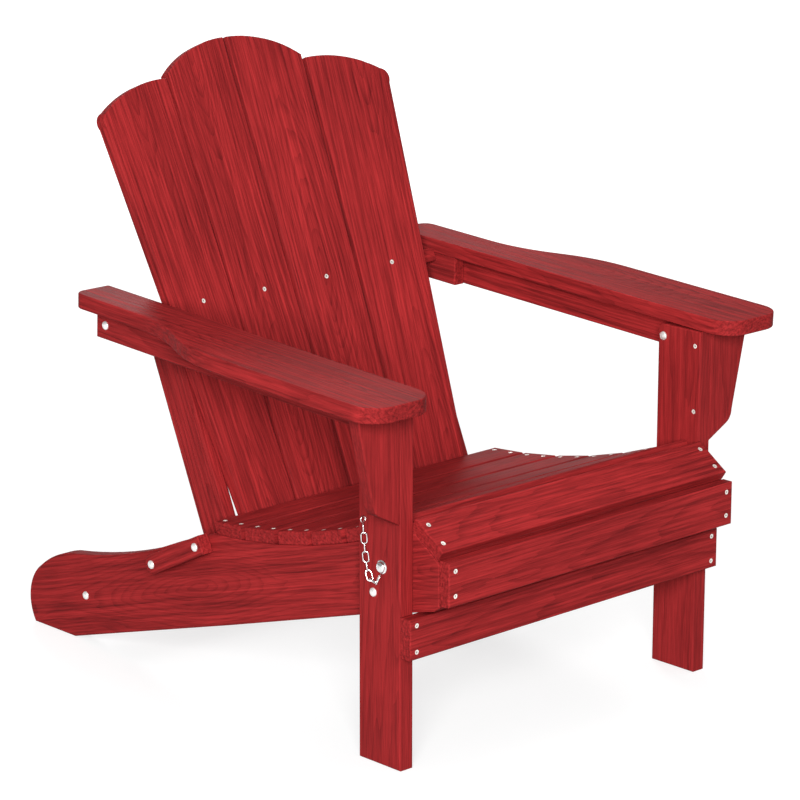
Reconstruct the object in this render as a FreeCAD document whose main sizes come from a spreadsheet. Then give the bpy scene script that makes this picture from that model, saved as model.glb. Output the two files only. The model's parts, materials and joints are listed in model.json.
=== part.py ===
import FreeCAD, Part
import math
import os

import Sketcher

# Folding adirondack chair, millimetres.  +Z is up and the chair faces -Y.  The origin is on the ground at
# the middle of the chair's footprint.  Side profiles are drawn as (y, z) points measured from the front face
# of the front legs, and PROFILE_SHIFT then moves every piece to the origin.

Vector = FreeCAD.Vector

doc = FreeCAD.newDocument("adirondack_chair")

# ---------------------------------------------------------------------------------------------------------
# Driving dimensions
# ---------------------------------------------------------------------------------------------------------

SIZES = [
    # boards
    ("leg_thick", 24.0),            # front legs and stringers
    ("board_thick", 20.0),          # rails, corbels, crossbars, links, struts
    ("slat_thick", 19.0),           # seat slats, back slats, fascia
    ("arm_thick", 22.0),            # arm boards
    ("edge_round", 2.0),            # eased edge of every board
    ("side_gap", 0.5),              # washer gap between boards that turn against each other
    ("touch_gap", 0.1),             # gap at a joint between two faceted pieces
    # seat frame
    ("seat_width", 556.0),          # over the outer faces of the stringers
    ("seat_slat_width", 62.6),
    ("seat_slat_gap", 8.0),
    ("front_slat_width", 47.0),
    ("rear_slat_width", 62.6),
    ("rear_slat_clearance", 21.0),  # from the back's front plane to the rear slat's bevelled edge
    ("seat_curve_radius", 1124.5),
    ("seat_curve_low_y", 471.0),
    ("seat_curve_low_z", 232.6),
    ("first_slot_y", 344.6),
    ("nose_slat_width", 62.0),
    ("nose_tilt", 34.0),
    ("fascia_height", 62.3),
    ("fascia_low_z", 240.7),
    ("stringer_front_y", -48.7),
    ("stringer_rear_y", 843.7),
    ("stretcher_height", 60.0),
    # front legs
    ("leg_width", 80.5),
    ("crossbar_height", 57.0),
    ("crossbar_low_z", 161.0),
    ("corbel_reach", 76.0),
    ("corbel_height", 163.0),
    # arms
    ("rail_height", 42.0),
    ("rail_front_reach", 27.0),
    ("rail_rear_reach", 20.5),
    ("arm_front_reach", 119.0),
    ("arm_rear_reach", 46.0),
    ("arm_width", 119.0),
    ("arm_rear_width", 64.0),
    ("arm_corner", 38.0),
    ("spacer_length", 82.0),
    # back
    ("back_lean", 23.63),
    ("back_frame_rise", 336.5),     # from the lower crossbar to the upper one, along the slats
    ("back_bottom_half", 214.2),
    ("back_flare", 0.097),
    ("slat_meet_bottom", 111.3),
    ("slat_meet_flare", 0.03),
    ("back_slat_gap", 6.0),
    ("inner_slat_turn", 4.0),
    ("outer_slat_turn", 5.5),
    ("inner_slat_top", 715.0),
    ("outer_slat_top", 665.0),
    ("back_slat_below", 12.0),
    ("upper_beam_rear", 76.0),      # rear edges of the crossbars, behind the back's front plane
    ("lower_beam_rear", 64.0),
    ("strut_depth", 60.0),
    ("link_width", 28.0),
    ("link_end_reach", 13.0),
    # pivots, as (y, z) from the front of the leg and the ground
    ("leg_pivot_y", 51.8),
    ("leg_pivot_z", 240.7),
    ("arm_pivot_y", 70.6),
    ("arm_pivot_z", 490.0),
    ("back_pivot_y", 427.8),
    ("back_pivot_z", 214.9),
    ("back_pivot_inset", 12.8),     # behind the front plane of the back
    ("arm_rear_pivot_inset", 40.6),
    ("link_pivot_y", 525.6),
    ("link_pivot_z", 166.2),
    ("stretcher_y", 705.8),
    ("stretcher_z", 71.3),
    ("lock_y", 34.1),
    ("lock_z", 280.2),
    ("chain_eye_y", 66.0),
    ("chain_eye_z", 340.5),
    # hardware
    ("screw_head_dia", 6.8),
    ("screw_head_height", 3.0),
    ("screw_shank_dia", 4.0),
    ("screw_length", 42.0),
    ("bolt_dia", 8.0),
    ("bolt_head_dia", 12.6),
    ("bolt_head_height", 3.6),
    ("nut_height", 6.5),
    ("sleeve_dia", 13.0),
    ("hole_clearance", 0.05),
    ("pin_dia", 8.0),
    ("pin_flange_dia", 19.0),
    ("pin_knob_dia", 15.0),
    ("chain_wire_dia", 1.6),
    ("chain_pitch", 12.8),
    ("chain_links", 8.0),
]

sheet = doc.addObject("Spreadsheet::Sheet", "Sizes")
for row, (alias, value) in enumerate(SIZES, start=1):
    sheet.set(f"A{row}", alias)
    sheet.set(f"B{row}", str(value))
    sheet.setAlias(f"B{row}", alias)
doc.recompute()


def size(alias):
    """The value of one driving dimension."""
    return float(getattr(sheet, alias))


# ---------------------------------------------------------------------------------------------------------
# Places worked out from the driving dimensions
# ---------------------------------------------------------------------------------------------------------

board = size("board_thick")
slat = size("slat_thick")
gap = size("side_gap")
touch = size("touch_gap")

stringer_out = size("seat_width") / 2
leg_thick = size("leg_thick")
stringer_in = stringer_out - leg_thick
leg_in = stringer_out + gap
leg_out = leg_in + leg_thick
link_out = leg_in + board
rail_in = leg_out + gap
rail_out = rail_in + board
spacer_in = rail_in - board

fascia_front_y = size("stringer_front_y") - slat
PROFILE_SHIFT = -(size("stringer_rear_y") + fascia_front_y) / 2

leg_pivot = (size("leg_pivot_y"), size("leg_pivot_z"))
arm_pivot = (size("arm_pivot_y"), size("arm_pivot_z"))
back_pivot = (size("back_pivot_y"), size("back_pivot_z"))
link_pivot = (size("link_pivot_y"), size("link_pivot_z"))
stretcher = (size("stretcher_y"), size("stretcher_z"))
lock = (size("lock_y"), size("lock_z"))
chain_eye = (size("chain_eye_y"), size("chain_eye_z"))

lean = math.radians(size("back_lean"))
UP_BACK = Vector(0, math.sin(lean), math.cos(lean))
OUT_BACK = Vector(0, math.cos(lean), -math.sin(lean))

RIGHT = Vector(1, 0, 0)
REAR = Vector(0, 1, 0)
UP = Vector(0, 0, 1)


def side_point(x, yz):
    """A point in the chair's own frame, from a sideways place and a profile point."""
    return Vector(x, yz[0] + PROFILE_SHIFT, yz[1])


def from_axes(origin, x_axis, y_axis):
    """The placement whose X and Y run along two given directions."""
    z_axis = x_axis.cross(y_axis)
    matrix = FreeCAD.Matrix(
        x_axis.x, y_axis.x, z_axis.x, origin.x,
        x_axis.y, y_axis.y, z_axis.y, origin.y,
        x_axis.z, y_axis.z, z_axis.z, origin.z,
        0, 0, 0, 1)
    return FreeCAD.Placement(matrix)


# The back's own frame: x sideways, then up along the slats, with the front plane of the middle slats at zero
back_origin = side_point(0, back_pivot) - OUT_BACK * size("back_pivot_inset")


def back_point(x, along, behind):
    """A point of the back, from its place across, up along the slats and behind their front plane."""
    return back_origin + RIGHT * x + UP_BACK * along + OUT_BACK * behind


arm_rear_point = back_point(0, size("back_frame_rise"), size("arm_rear_pivot_inset"))
arm_rear = (arm_rear_point.y - PROFILE_SHIFT, arm_rear_point.z)
arm_length = math.hypot(arm_rear[0] - arm_pivot[0], arm_rear[1] - arm_pivot[1])
arm_rise = math.atan2(arm_rear[1] - arm_pivot[1], arm_rear[0] - arm_pivot[0])
ALONG_ARM = Vector(0, math.cos(arm_rise), math.sin(arm_rise))


def arm_underside(y):
    """Height of the arm board's underside over a profile place."""
    middle = arm_pivot[1] + (y - arm_pivot[0]) * math.tan(arm_rise)
    return middle + size("rail_height") / 2 / math.cos(arm_rise)


def seat_curve(y):
    """Height of the stringers' top under the seat slats: an arc whose low point is behind the seat."""
    radius = size("seat_curve_radius")
    reach = size("seat_curve_low_y") - y
    return size("seat_curve_low_z") + radius - math.sqrt(radius ** 2 - reach ** 2)


slat_pitch = size("seat_slat_width") + size("seat_slat_gap")
slot_places = [size("first_slot_y") - slat_pitch * index for index in range(5)]

# ---------------------------------------------------------------------------------------------------------
# Builders
# ---------------------------------------------------------------------------------------------------------

finished = {}


def origin_plane(body, role):
    """One of a body's own origin planes."""
    return next(item for item in body.Origin.OriginFeatures if item.Role == role)


def new_sketch(body, name):
    """A sketch on the body's own XY plane."""
    sketch = body.newObject("Sketcher::SketchObject", name)
    sketch.AttachmentSupport = [(origin_plane(body, "XY_Plane"), "")]
    sketch.MapMode = "FlatFace"
    return sketch


def pad_and_round(body, sketch, thick, rounded=True):
    """Pad the sketch by a named size and ease the edges of both faces."""
    pad = body.newObject("PartDesign::Pad", body.Name + "_pad")
    pad.Profile = sketch
    pad.setExpression("Length", f"Sizes.{thick}")
    doc.recompute()
    if not rounded:
        return
    depth = size(thick)
    names = []
    for index, edge in enumerate(pad.Shape.Edges, start=1):
        ends = [vertex.Z for vertex in edge.Vertexes]
        if max(ends) < 1e-6 or min(ends) > depth - 1e-6:
            names.append(f"Edge{index}")
    easing = body.newObject("PartDesign::Fillet", body.Name + "_easing")
    easing.Base = (pad, names)
    easing.setExpression("Radius", "Sizes.edge_round")
    body.Tip = easing


def outline_board(label, start, runs, thick, place, rounded=True):
    """A board with any outline.

    start is the first point, and each run is ("line", end) or ("arc", through, end)."""
    body = doc.addObject("PartDesign::Body", label + "_blank")
    sketch = new_sketch(body, label + "_outline")
    here = Vector(*start, 0)
    for run in runs:
        there = Vector(*run[-1], 0)
        if run[0] == "line":
            sketch.addGeometry(Part.LineSegment(here, there), False)
        else:
            sketch.addGeometry(Part.Arc(here, Vector(*run[1], 0), there), False)
        here = there
    pad_and_round(body, sketch, thick, rounded)
    body.Placement = place
    doc.recompute()
    return body


def plain_board(label, length, width, thick, place):
    """A rectangular board, centred on its own frame, with its three sizes bound to the sheet."""
    body = doc.addObject("PartDesign::Body", label + "_blank")
    sketch = new_sketch(body, label + "_outline")
    half = (50.0, 20.0)
    corners = [Vector(-half[0], -half[1], 0), Vector(half[0], -half[1], 0),
               Vector(half[0], half[1], 0), Vector(-half[0], half[1], 0)]
    for index in range(4):
        sketch.addGeometry(Part.LineSegment(corners[index], corners[(index + 1) % 4]), False)
    for index in range(4):
        sketch.addConstraint(Sketcher.Constraint("Coincident", index, 2, (index + 1) % 4, 1))
    for index in (0, 2):
        sketch.addConstraint(Sketcher.Constraint("Horizontal", index))
    for index in (1, 3):
        sketch.addConstraint(Sketcher.Constraint("Vertical", index))
    sketch.addConstraint(Sketcher.Constraint("Symmetric", 0, 1, 1, 2, -1, 1))
    for name, kind, expression in (("length", "DistanceX", length), ("width", "DistanceY", width)):
        edge = 0 if kind == "DistanceX" else 1
        number = sketch.addConstraint(Sketcher.Constraint(kind, edge, 1, edge, 2, 40.0))
        sketch.renameConstraint(number, name)
        sketch.setExpression(f".Constraints.{name}", expression)
    pad_and_round(body, sketch, thick)
    body.Placement = place
    doc.recompute()
    return body


def keep(label, blank, holes=()):
    """Finish one node: cut the fasteners' holes in its blank and give it its label."""
    result = blank
    for number, group in enumerate(holes, start=1):
        cut = doc.addObject("Part::Cut", f"{label}_drilled_{number}")
        cut.Base = result
        cut.Tool = group
        doc.recompute()
        result = cut
    result.Label = label
    finished[label] = result
    return result


def set_shape(name, shape):
    """A document object that holds a group of separate solids."""
    item = doc.addObject("Part::Feature", name)
    item.Shape = shape
    return item


def turned_solid(profile, place):
    """A turned solid from (radius, height) points, standing on the place's own Z."""
    points = [Vector(radius, 0, height) for radius, height in profile]
    face = Part.Face(Part.makePolygon(points + [points[0]]))
    solid = face.revolve(Vector(0, 0, 0), UP, 360)
    return solid.transformed(place.toMatrix())


def along(point, direction):
    """A placement at a point, with its Z along a direction."""
    return FreeCAD.Placement(point, FreeCAD.Rotation(UP, direction))


def screw_profile(length, spare):
    """Outline of a flat-head screw, head up at zero and shank down along +Z, grown by a clearance."""
    head = size("screw_head_dia") / 2 + spare
    shank = size("screw_shank_dia") / 2 + spare
    height = size("screw_head_height")
    tip = length - shank
    return [(0, 0), (head, 0), (head, 0.6), (shank, height), (shank, tip), (0.4, length + spare), (0, length + spare)]


def screw_group(name, screws):
    """A node of alike screws and the tool that cuts their holes.

    screws holds (point on the surface, direction into the wood) or (point, direction, length)."""
    solids = []
    cutters = []
    clearance = size("hole_clearance")
    for screw in screws:
        point, direction = screw[:2]
        length = screw[2] if len(screw) > 2 else size("screw_length")
        place = along(point, direction)
        solid = turned_solid(screw_profile(length, 0), place)
        recess = turned_solid([(0, -1), (1.6, -1), (1.6, 1.3), (0, 1.3)], place)
        solids.append(solid.cut(recess))
        profile = screw_profile(length, clearance)
        profile = [(0, -5), (profile[1][0], -5)] + profile[2:]
        cutters.append(turned_solid(profile, place))
    keep(name, set_shape(name, Part.makeCompound(solids)))
    return set_shape(name + "_cutter", Part.makeCompound(cutters))


def bolt_solid(point, direction, grip, nut=True):
    """A dome-head bolt through a stack of boards, with a washer and nut where it has one."""
    head = size("bolt_head_dia") / 2
    height = size("bolt_head_height")
    shank = size("bolt_dia") / 2
    place = along(point, direction)
    dome_radius = (head ** 2 + height ** 2) / (2 * height)
    dome = Part.makeSphere(dome_radius, Vector(0, 0, dome_radius - height))
    cap = dome.common(Part.makeBox(4 * head, 4 * head, height, Vector(-2 * head, -2 * head, -height)))
    end = grip + (size("nut_height") + 2 if nut else 0)
    shaft = Part.makeCylinder(shank, end + 0.5, Vector(0, 0, -0.5))
    solid = cap.fuse(shaft)
    if nut:
        washer = Part.makeCylinder(head + 1.5, 1.2, Vector(0, 0, grip))
        corners = [Vector(7.2 * math.cos(math.radians(60 * k)), 7.2 * math.sin(math.radians(60 * k)), grip + 1.2)
                   for k in range(6)]
        hexagon = Part.Face(Part.makePolygon(corners + [corners[0]]))
        solid = solid.fuse(washer).fuse(hexagon.extrude(Vector(0, 0, size("nut_height") - 1.2)))
    return solid.removeSplitter().transformed(place.toMatrix())


def hole_cutter(name, holes):
    """A tool of plain drills: (point, direction, diameter, length)."""
    clearance = size("hole_clearance")
    solids = []
    for point, direction, diameter, length in holes:
        drill = Part.makeCylinder(diameter / 2 + clearance, length)
        solids.append(drill.transformed(along(point, direction).toMatrix()))
    return set_shape(name, Part.makeCompound(solids))


def both_sides(x, yz):
    """The left and right points at one profile place, with the direction that points inwards."""
    return [(side_point(-x, yz), RIGHT), (side_point(x, yz), -RIGHT)]


def side_place(x):
    """A frame for side profiles: profile y and z across it, padded towards +X from x."""
    return from_axes(side_point(x, (0, 0)), REAR, UP)


SIDES = (("left", -1), ("right", 1))


def side_start(sign, inner, outer):
    """The lower x of a board that lies between two distances from the middle, on one side."""
    return inner if sign > 0 else -outer


# ---------------------------------------------------------------------------------------------------------
# Seat slats: where they lie
# ---------------------------------------------------------------------------------------------------------


def facet(rear, front):
    """Middle, rearward direction and normal of the flat between two points of the stringer's top."""
    run = Vector(0, rear[0] - front[0], rear[1] - front[1])
    rearward = run.normalize()
    return rearward, RIGHT.cross(rearward)


seat_points = [(y, seat_curve(y)) for y in slot_places]
rearmost_y = size("first_slot_y") + size("seat_slat_gap") / 2 + size("rear_slat_width")
rearmost = (rearmost_y, seat_curve(rearmost_y))

nose_tilt = math.radians(size("nose_tilt"))
nose_low = (size("stringer_front_y") + 3.6, 299.5)
nose_high = (nose_low[0] + size("nose_slat_width") * math.cos(nose_tilt),
             nose_low[1] + size("nose_slat_width") * math.sin(nose_tilt))


def meet_nose():
    """Where the line of the nose meets the curve of the seat."""
    low, high = nose_low[0], slot_places[-1]
    for _ in range(40):
        middle = (low + high) / 2
        over = nose_low[1] + (middle - nose_low[0]) * math.tan(nose_tilt) - seat_curve(middle)
        low, high = (low, middle) if over > 0 else (middle, high)
    return (middle, seat_curve(middle))


nose_top = meet_nose()
facets = [(rearmost, seat_points[0])] + list(zip(seat_points, seat_points[1:])) + [(seat_points[-1], nose_top)]
half_gap = size("seat_slat_gap") / 2
slat_aliases = ["rear_slat_width"] + ["seat_slat_width"] * 4 + ["front_slat_width"]

slat_layout = []
for (rear, front), alias in zip(facets, slat_aliases):
    rearward, normal = facet(rear, front)
    width = size(alias)
    if alias == "rear_slat_width":
        middle = side_point(0, front) + rearward * (half_gap + width / 2)
    else:
        middle = side_point(0, rear) - rearward * (half_gap + width / 2)
    slat_layout.append((middle, rearward, normal, alias))

nose_rearward, nose_normal = facet(nose_high, nose_low)
nose_middle = (side_point(0, nose_high) + side_point(0, nose_low)) * 0.5

# ---------------------------------------------------------------------------------------------------------
# Screws and bolts of the seat frame
# ---------------------------------------------------------------------------------------------------------

stringer_mid = (stringer_out + stringer_in) / 2
seat_screws = []
for middle, rearward, normal, alias in slat_layout:
    spread = size(alias) / 2 - 14.0
    for x in (-stringer_mid, stringer_mid):
        for step in (-spread, spread):
            seat_screws.append((middle + normal * slat + rearward * step + RIGHT * x, normal * -1))
for x in (-stringer_mid, stringer_mid):
    for step in (-17.0, 17.0):
        seat_screws.append((nose_middle + nose_normal * slat + nose_rearward * step + RIGHT * x, nose_normal * -1))
seat_cutter = screw_group("seat_screws", seat_screws)

fascia_mid_z = size("fascia_low_z") + size("fascia_height") / 2
fascia_screws = []
for x in (-stringer_mid, stringer_mid):
    for step in (-16.5, 18.0):
        fascia_screws.append((side_point(x, (fascia_front_y, fascia_mid_z + step)), REAR))
fascia_cutter = screw_group("fascia_screws", fascia_screws)


def bolts(name, x, yz, grip, nut=True):
    """A pair of bolts, one on each side, as one node, and the tool that drills for them."""
    pair = both_sides(x, yz)
    keep(name, set_shape(name, Part.makeCompound([bolt_solid(p, d, grip, nut) for p, d in pair])))
    drills = [(p - d * 1.0, d, size("bolt_dia"), grip + 2) for p, d in pair]
    return hole_cutter(name + "_cutter", drills)


leg_bolt_cutter = bolts("leg_pivot_bolts", leg_out, leg_pivot, leg_out - stringer_in)
link_bolt_cutter = bolts("link_pivot_bolts", link_out, link_pivot, link_out - stringer_in)
stretcher_bolt_cutter = bolts("stretcher_bolts", stringer_out, stretcher, leg_thick + 45, nut=False)

# ---------------------------------------------------------------------------------------------------------
# Stringers: the long side boards that carry the seat and run down to the rear feet
# ---------------------------------------------------------------------------------------------------------


def crossing(first, second, third, fourth):
    """Where the line through two points crosses the line through two others."""
    a = Vector(second[0] - first[0], second[1] - first[1], 0)
    b = Vector(fourth[0] - third[0], fourth[1] - third[1], 0)
    step = ((third[0] - first[0]) * b.y - (third[1] - first[1]) * b.x) / (a.x * b.y - a.y * b.x)
    return (first[0] + a.x * step, first[1] + a.y * step)


def shifted(point, direction, distance):
    """A profile point moved along a direction."""
    return (point[0] + direction[0] * distance, point[1] + direction[1] * distance)


# The bolt that carries the back drops into a half-round seat in each stringer's top, and leaves it along the
# arc of its link
link_reach = math.hypot(link_pivot[0] - back_pivot[0], link_pivot[1] - back_pivot[1])
toward_back = ((back_pivot[0] - link_pivot[0]) / link_reach, (back_pivot[1] - link_pivot[1]) / link_reach)
leave = (toward_back[1], -toward_back[0])
notch_radius = size("sleeve_dia") / 2 + 0.5
top_slope = (seat_points[0], (481.3, 207.4))
notch_rear = shifted(back_pivot, toward_back, -notch_radius)
notch_front = shifted(back_pivot, toward_back, notch_radius)
notch_rear_top = crossing(notch_rear, shifted(notch_rear, leave, 10), rearmost, top_slope[1])
notch_front_top = crossing(notch_front, shifted(notch_front, leave, 10), rearmost, top_slope[1])
notch_floor = shifted(back_pivot, leave, -notch_radius)

stringer_front = size("stringer_front_y")
rear_y = size("stringer_rear_y")
nose_foot_z = nose_low[1] + (stringer_front - nose_low[0]) * math.tan(nose_tilt)

# The rear end is one round whose rearmost point is 38 above the ground
round_height = 38.0
round_radius = (29.0 ** 2 + (93.0 - round_height) ** 2) / (2 * 29.0)
round_foot_y = rear_y - round_radius + math.sqrt(round_radius ** 2 - round_height ** 2)

stringer_runs = [
    ("line", (round_foot_y, 0)),
    ("arc", (rear_y, round_height), (rear_y - 29.0, 93.0)),
    ("arc", (rear_y - 60.0, 113.5), (rear_y - 98.0, 127.7)),
    ("arc", (635.7, 150.8), (542.3, 180.7)),
    ("line", top_slope[1]),
    ("line", notch_rear_top),
    ("line", notch_rear),
    ("arc", notch_floor, notch_front),
    ("line", notch_front_top),
    ("line", rearmost),
]
stringer_runs += [("line", point) for point in seat_points]
stringer_runs += [
    ("line", nose_top),
    ("line", (stringer_front, nose_foot_z)),
    ("line", (stringer_front, 236.5)),
    ("line", (-38.0, 229.0)),
    ("line", (103.3, 190.3)),
    ("line", (375.5, 107.2)),
    ("line", (735.5, 0)),
]

lock_cutter = hole_cutter("lock_hole_cutter", [(p - d, d, size("pin_dia") + 1.0, 2 * leg_thick + 4)
                                               for p, d in both_sides(leg_out, lock)])
stringer_tools = [seat_cutter, fascia_cutter, leg_bolt_cutter, link_bolt_cutter, stretcher_bolt_cutter, lock_cutter]
for side, sign in SIDES:
    place = side_place(side_start(sign, stringer_in, stringer_out))
    blank = outline_board(f"{side}_stringer", (735.5, 0), stringer_runs, "leg_thick", place)
    keep(f"{side}_stringer", blank, stringer_tools)

# ---------------------------------------------------------------------------------------------------------
# Seat slats, nose slat, fascia and the rear stretcher
# ---------------------------------------------------------------------------------------------------------

bevel_place = from_axes(back_point(0, 0, -size("rear_slat_clearance")), RIGHT, UP_BACK)
bevel_box = Part.makeBox(2 * stringer_out + 20, 200, 60, Vector(-stringer_out - 10, -80, -60))
bevel_tool = set_shape("rear_slat_bevel", bevel_box.transformed(bevel_place.toMatrix()))

for index, (middle, rearward, normal, alias) in enumerate(slat_layout, start=1):
    label = f"seat_slat_{index}"
    place = from_axes(middle, RIGHT, rearward)
    blank = plain_board(label, "Sizes.seat_width", f"Sizes.{alias}", "slat_thick", place)
    tools = [seat_cutter]
    if alias == "rear_slat_width":
        tools.append(bevel_tool)
    keep(label, blank, tools)

blank = plain_board("seat_nose_slat", "Sizes.seat_width", "Sizes.nose_slat_width", "slat_thick",
                    from_axes(nose_middle, RIGHT, nose_rearward))
keep("seat_nose_slat", blank, [seat_cutter])

fascia_place = from_axes(side_point(0, (stringer_front, fascia_mid_z)), RIGHT, UP)
blank = plain_board("front_fascia", "Sizes.seat_width", "Sizes.fascia_height", "slat_thick", fascia_place)
keep("front_fascia", blank, [fascia_cutter])

ground_slope = math.atan2(107.2, 735.5 - 375.5)
stretcher_along = Vector(0, math.cos(ground_slope), -math.sin(ground_slope))
stretcher_up = RIGHT.cross(stretcher_along)
stretcher_place = from_axes(side_point(0, stretcher) - stretcher_up * (board / 2), RIGHT, stretcher_along)
blank = plain_board("rear_stretcher", "Sizes.seat_width - 2 * Sizes.leg_thick", "Sizes.stretcher_height",
                    "board_thick", stretcher_place)
keep("rear_stretcher", blank, [stretcher_bolt_cutter])

# ---------------------------------------------------------------------------------------------------------
# Front legs, with their crossbar and corbels
# ---------------------------------------------------------------------------------------------------------

leg_mid = (leg_in + leg_out) / 2
leg_top = arm_underside(0) - gap
crossbar_mid_z = size("crossbar_low_z") + size("crossbar_height") / 2
crossbar_screws = []
for x in (-leg_mid, leg_mid):
    for step in (-18.0, 19.0):
        crossbar_screws.append((side_point(x, (-board, crossbar_mid_z + step)), REAR))
crossbar_cutter = screw_group("crossbar_screws", crossbar_screws)

corbel_screws = []
corbel_y = board / 2
for x, direction in ((-leg_in, RIGHT * -1), (leg_in, RIGHT)):
    for drop in (22.0, 118.0):
        corbel_screws.append((side_point(x, (corbel_y, leg_top - drop)), direction))
corbel_cutter = screw_group("corbel_screws", corbel_screws)

arm_bolt_grip = rail_out - leg_in
arm_bolts = [(side_point(-leg_in, arm_pivot), RIGHT * -1), (side_point(leg_in, arm_pivot), RIGHT)]
keep("arm_pivot_bolts", set_shape("arm_pivot_bolts", Part.makeCompound(
    [bolt_solid(point, direction, arm_bolt_grip) for point, direction in arm_bolts])))
arm_bolt_cutter = hole_cutter("arm_bolt_cutter", [(point - direction, direction, size("bolt_dia"), arm_bolt_grip + 2)
                                                  for point, direction in arm_bolts])

eye_point = side_point(-leg_out, chain_eye)
eye_shank_length = 14.0
eye_cutter = hole_cutter("eye_cutter", [(eye_point, RIGHT, 3.0, eye_shank_length)])
pin_cutter = hole_cutter("pin_cutter", [(side_point(-leg_out - 1, lock), RIGHT, size("pin_dia"), leg_thick + 4)])

leg_width = size("leg_width")
corner = min(13.0, leg_width - arm_pivot[0])
turn = corner * (1 - math.sqrt(0.5))
leg_runs = [
    ("line", (leg_width, 0)),
    ("line", (leg_width, leg_top - corner)),
    ("arc", (leg_width - turn, leg_top - turn), (leg_width - corner, leg_top)),
    ("line", (0, leg_top)),
    ("line", (0, 0)),
]
for side, sign in SIDES:
    place = side_place(side_start(sign, leg_in, leg_out))
    blank = outline_board(f"{side}_front_leg", (0, 0), leg_runs, "leg_thick", place)
    tools = [leg_bolt_cutter, arm_bolt_cutter, crossbar_cutter, corbel_cutter]
    if side == "left":
        tools += [eye_cutter, pin_cutter]
    keep(f"{side}_front_leg", blank, tools)

    # A corbel stands across the leg's outer face and props the arm
    reach = size("corbel_reach")
    low = leg_top - size("corbel_height")
    knee = (43.2, 23.0)
    runs = [
        ("line", (knee[0] - 9.0, low + knee[1] - 5.0)),
        ("arc", (knee[0] + 1.0, low + knee[1] + 3.5), (knee[0] + 4.4, low + knee[1] + 15.0)),
        ("line", (reach, leg_top)),
        ("line", (0, leg_top)),
        ("line", (0, low)),
    ]
    if sign > 0:
        place = from_axes(side_point(leg_out, (board, 0)), RIGHT, UP)
    else:
        place = from_axes(side_point(-leg_out, (0, 0)), RIGHT * -1, UP)
    blank = outline_board(f"{side}_corbel", (0, low), runs, "board_thick", place)
    keep(f"{side}_corbel", blank, [corbel_cutter])

crossbar_place = from_axes(side_point(0, (0, crossbar_mid_z)), RIGHT, UP)
blank = plain_board("leg_crossbar", "Sizes.seat_width + 2 * (Sizes.side_gap + Sizes.leg_thick)",
                    "Sizes.crossbar_height", "board_thick", crossbar_place)
keep("leg_crossbar", blank, [crossbar_cutter])

# ---------------------------------------------------------------------------------------------------------
# Arms: a rail on edge under each arm board, and a spacer block at the rear pivot
# ---------------------------------------------------------------------------------------------------------

arm_origin = side_point(0, arm_pivot)
ARM_UP = RIGHT.cross(ALONG_ARM)
rail_half = size("rail_height") / 2
rail_from = -size("rail_front_reach")
rail_to = arm_length + size("rail_rear_reach")


def arm_frame_place(x, lift=0.0):
    """A frame for profiles seen from the side: along the arm and up from its pivot line, padded towards +X."""
    return from_axes(arm_origin + RIGHT * x + ARM_UP * lift, ALONG_ARM, ARM_UP)


def box_runs(low_x, low_y, high_x, high_y):
    """The runs of a plain rectangle."""
    return [("line", (high_x, low_y)), ("line", (high_x, high_y)), ("line", (low_x, high_y)), ("line", (low_x, low_y))]


arm_front = -size("arm_front_reach")
arm_back = arm_length + size("arm_rear_reach")
wide = size("arm_width")
narrow = size("arm_rear_width")
corner = size("arm_corner")
rear_corner = 18.0
sweep_from = 191.0
sweep_to = 422.0
sweep_radius = ((sweep_to - sweep_from) ** 2 + (wide - narrow) ** 2) / (4 * (wide - narrow))
sweep_half = math.atan2(wide - narrow, sweep_to - sweep_from)
sweep_middle = ((wide + narrow) / 2, (sweep_from + sweep_to) / 2)
bulge = (sweep_radius * (1 - math.cos(sweep_half)), sweep_radius * math.sin(sweep_half))
round_off = corner * (1 - math.sqrt(0.5))
rear_off = rear_corner * (1 - math.sqrt(0.5))
arm_runs = [
    ("arc", (round_off, arm_front + round_off), (corner, arm_front)),
    ("line", (wide - corner, arm_front)),
    ("arc", (wide - round_off, arm_front + round_off), (wide, arm_front + corner)),
    ("line", (wide, sweep_from)),
    ("arc", (wide - bulge[0], sweep_from + bulge[1]), sweep_middle),
    ("arc", (narrow + bulge[0], sweep_to - bulge[1]), (narrow, sweep_to)),
    ("line", (narrow, arm_back - rear_corner)),
    ("arc", (narrow - rear_off, arm_back - rear_off), (narrow - rear_corner, arm_back)),
    ("line", (3.0, arm_back)),
    ("line", (0, arm_back - 3.0)),
    ("line", (0, arm_front + corner)),
]

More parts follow.
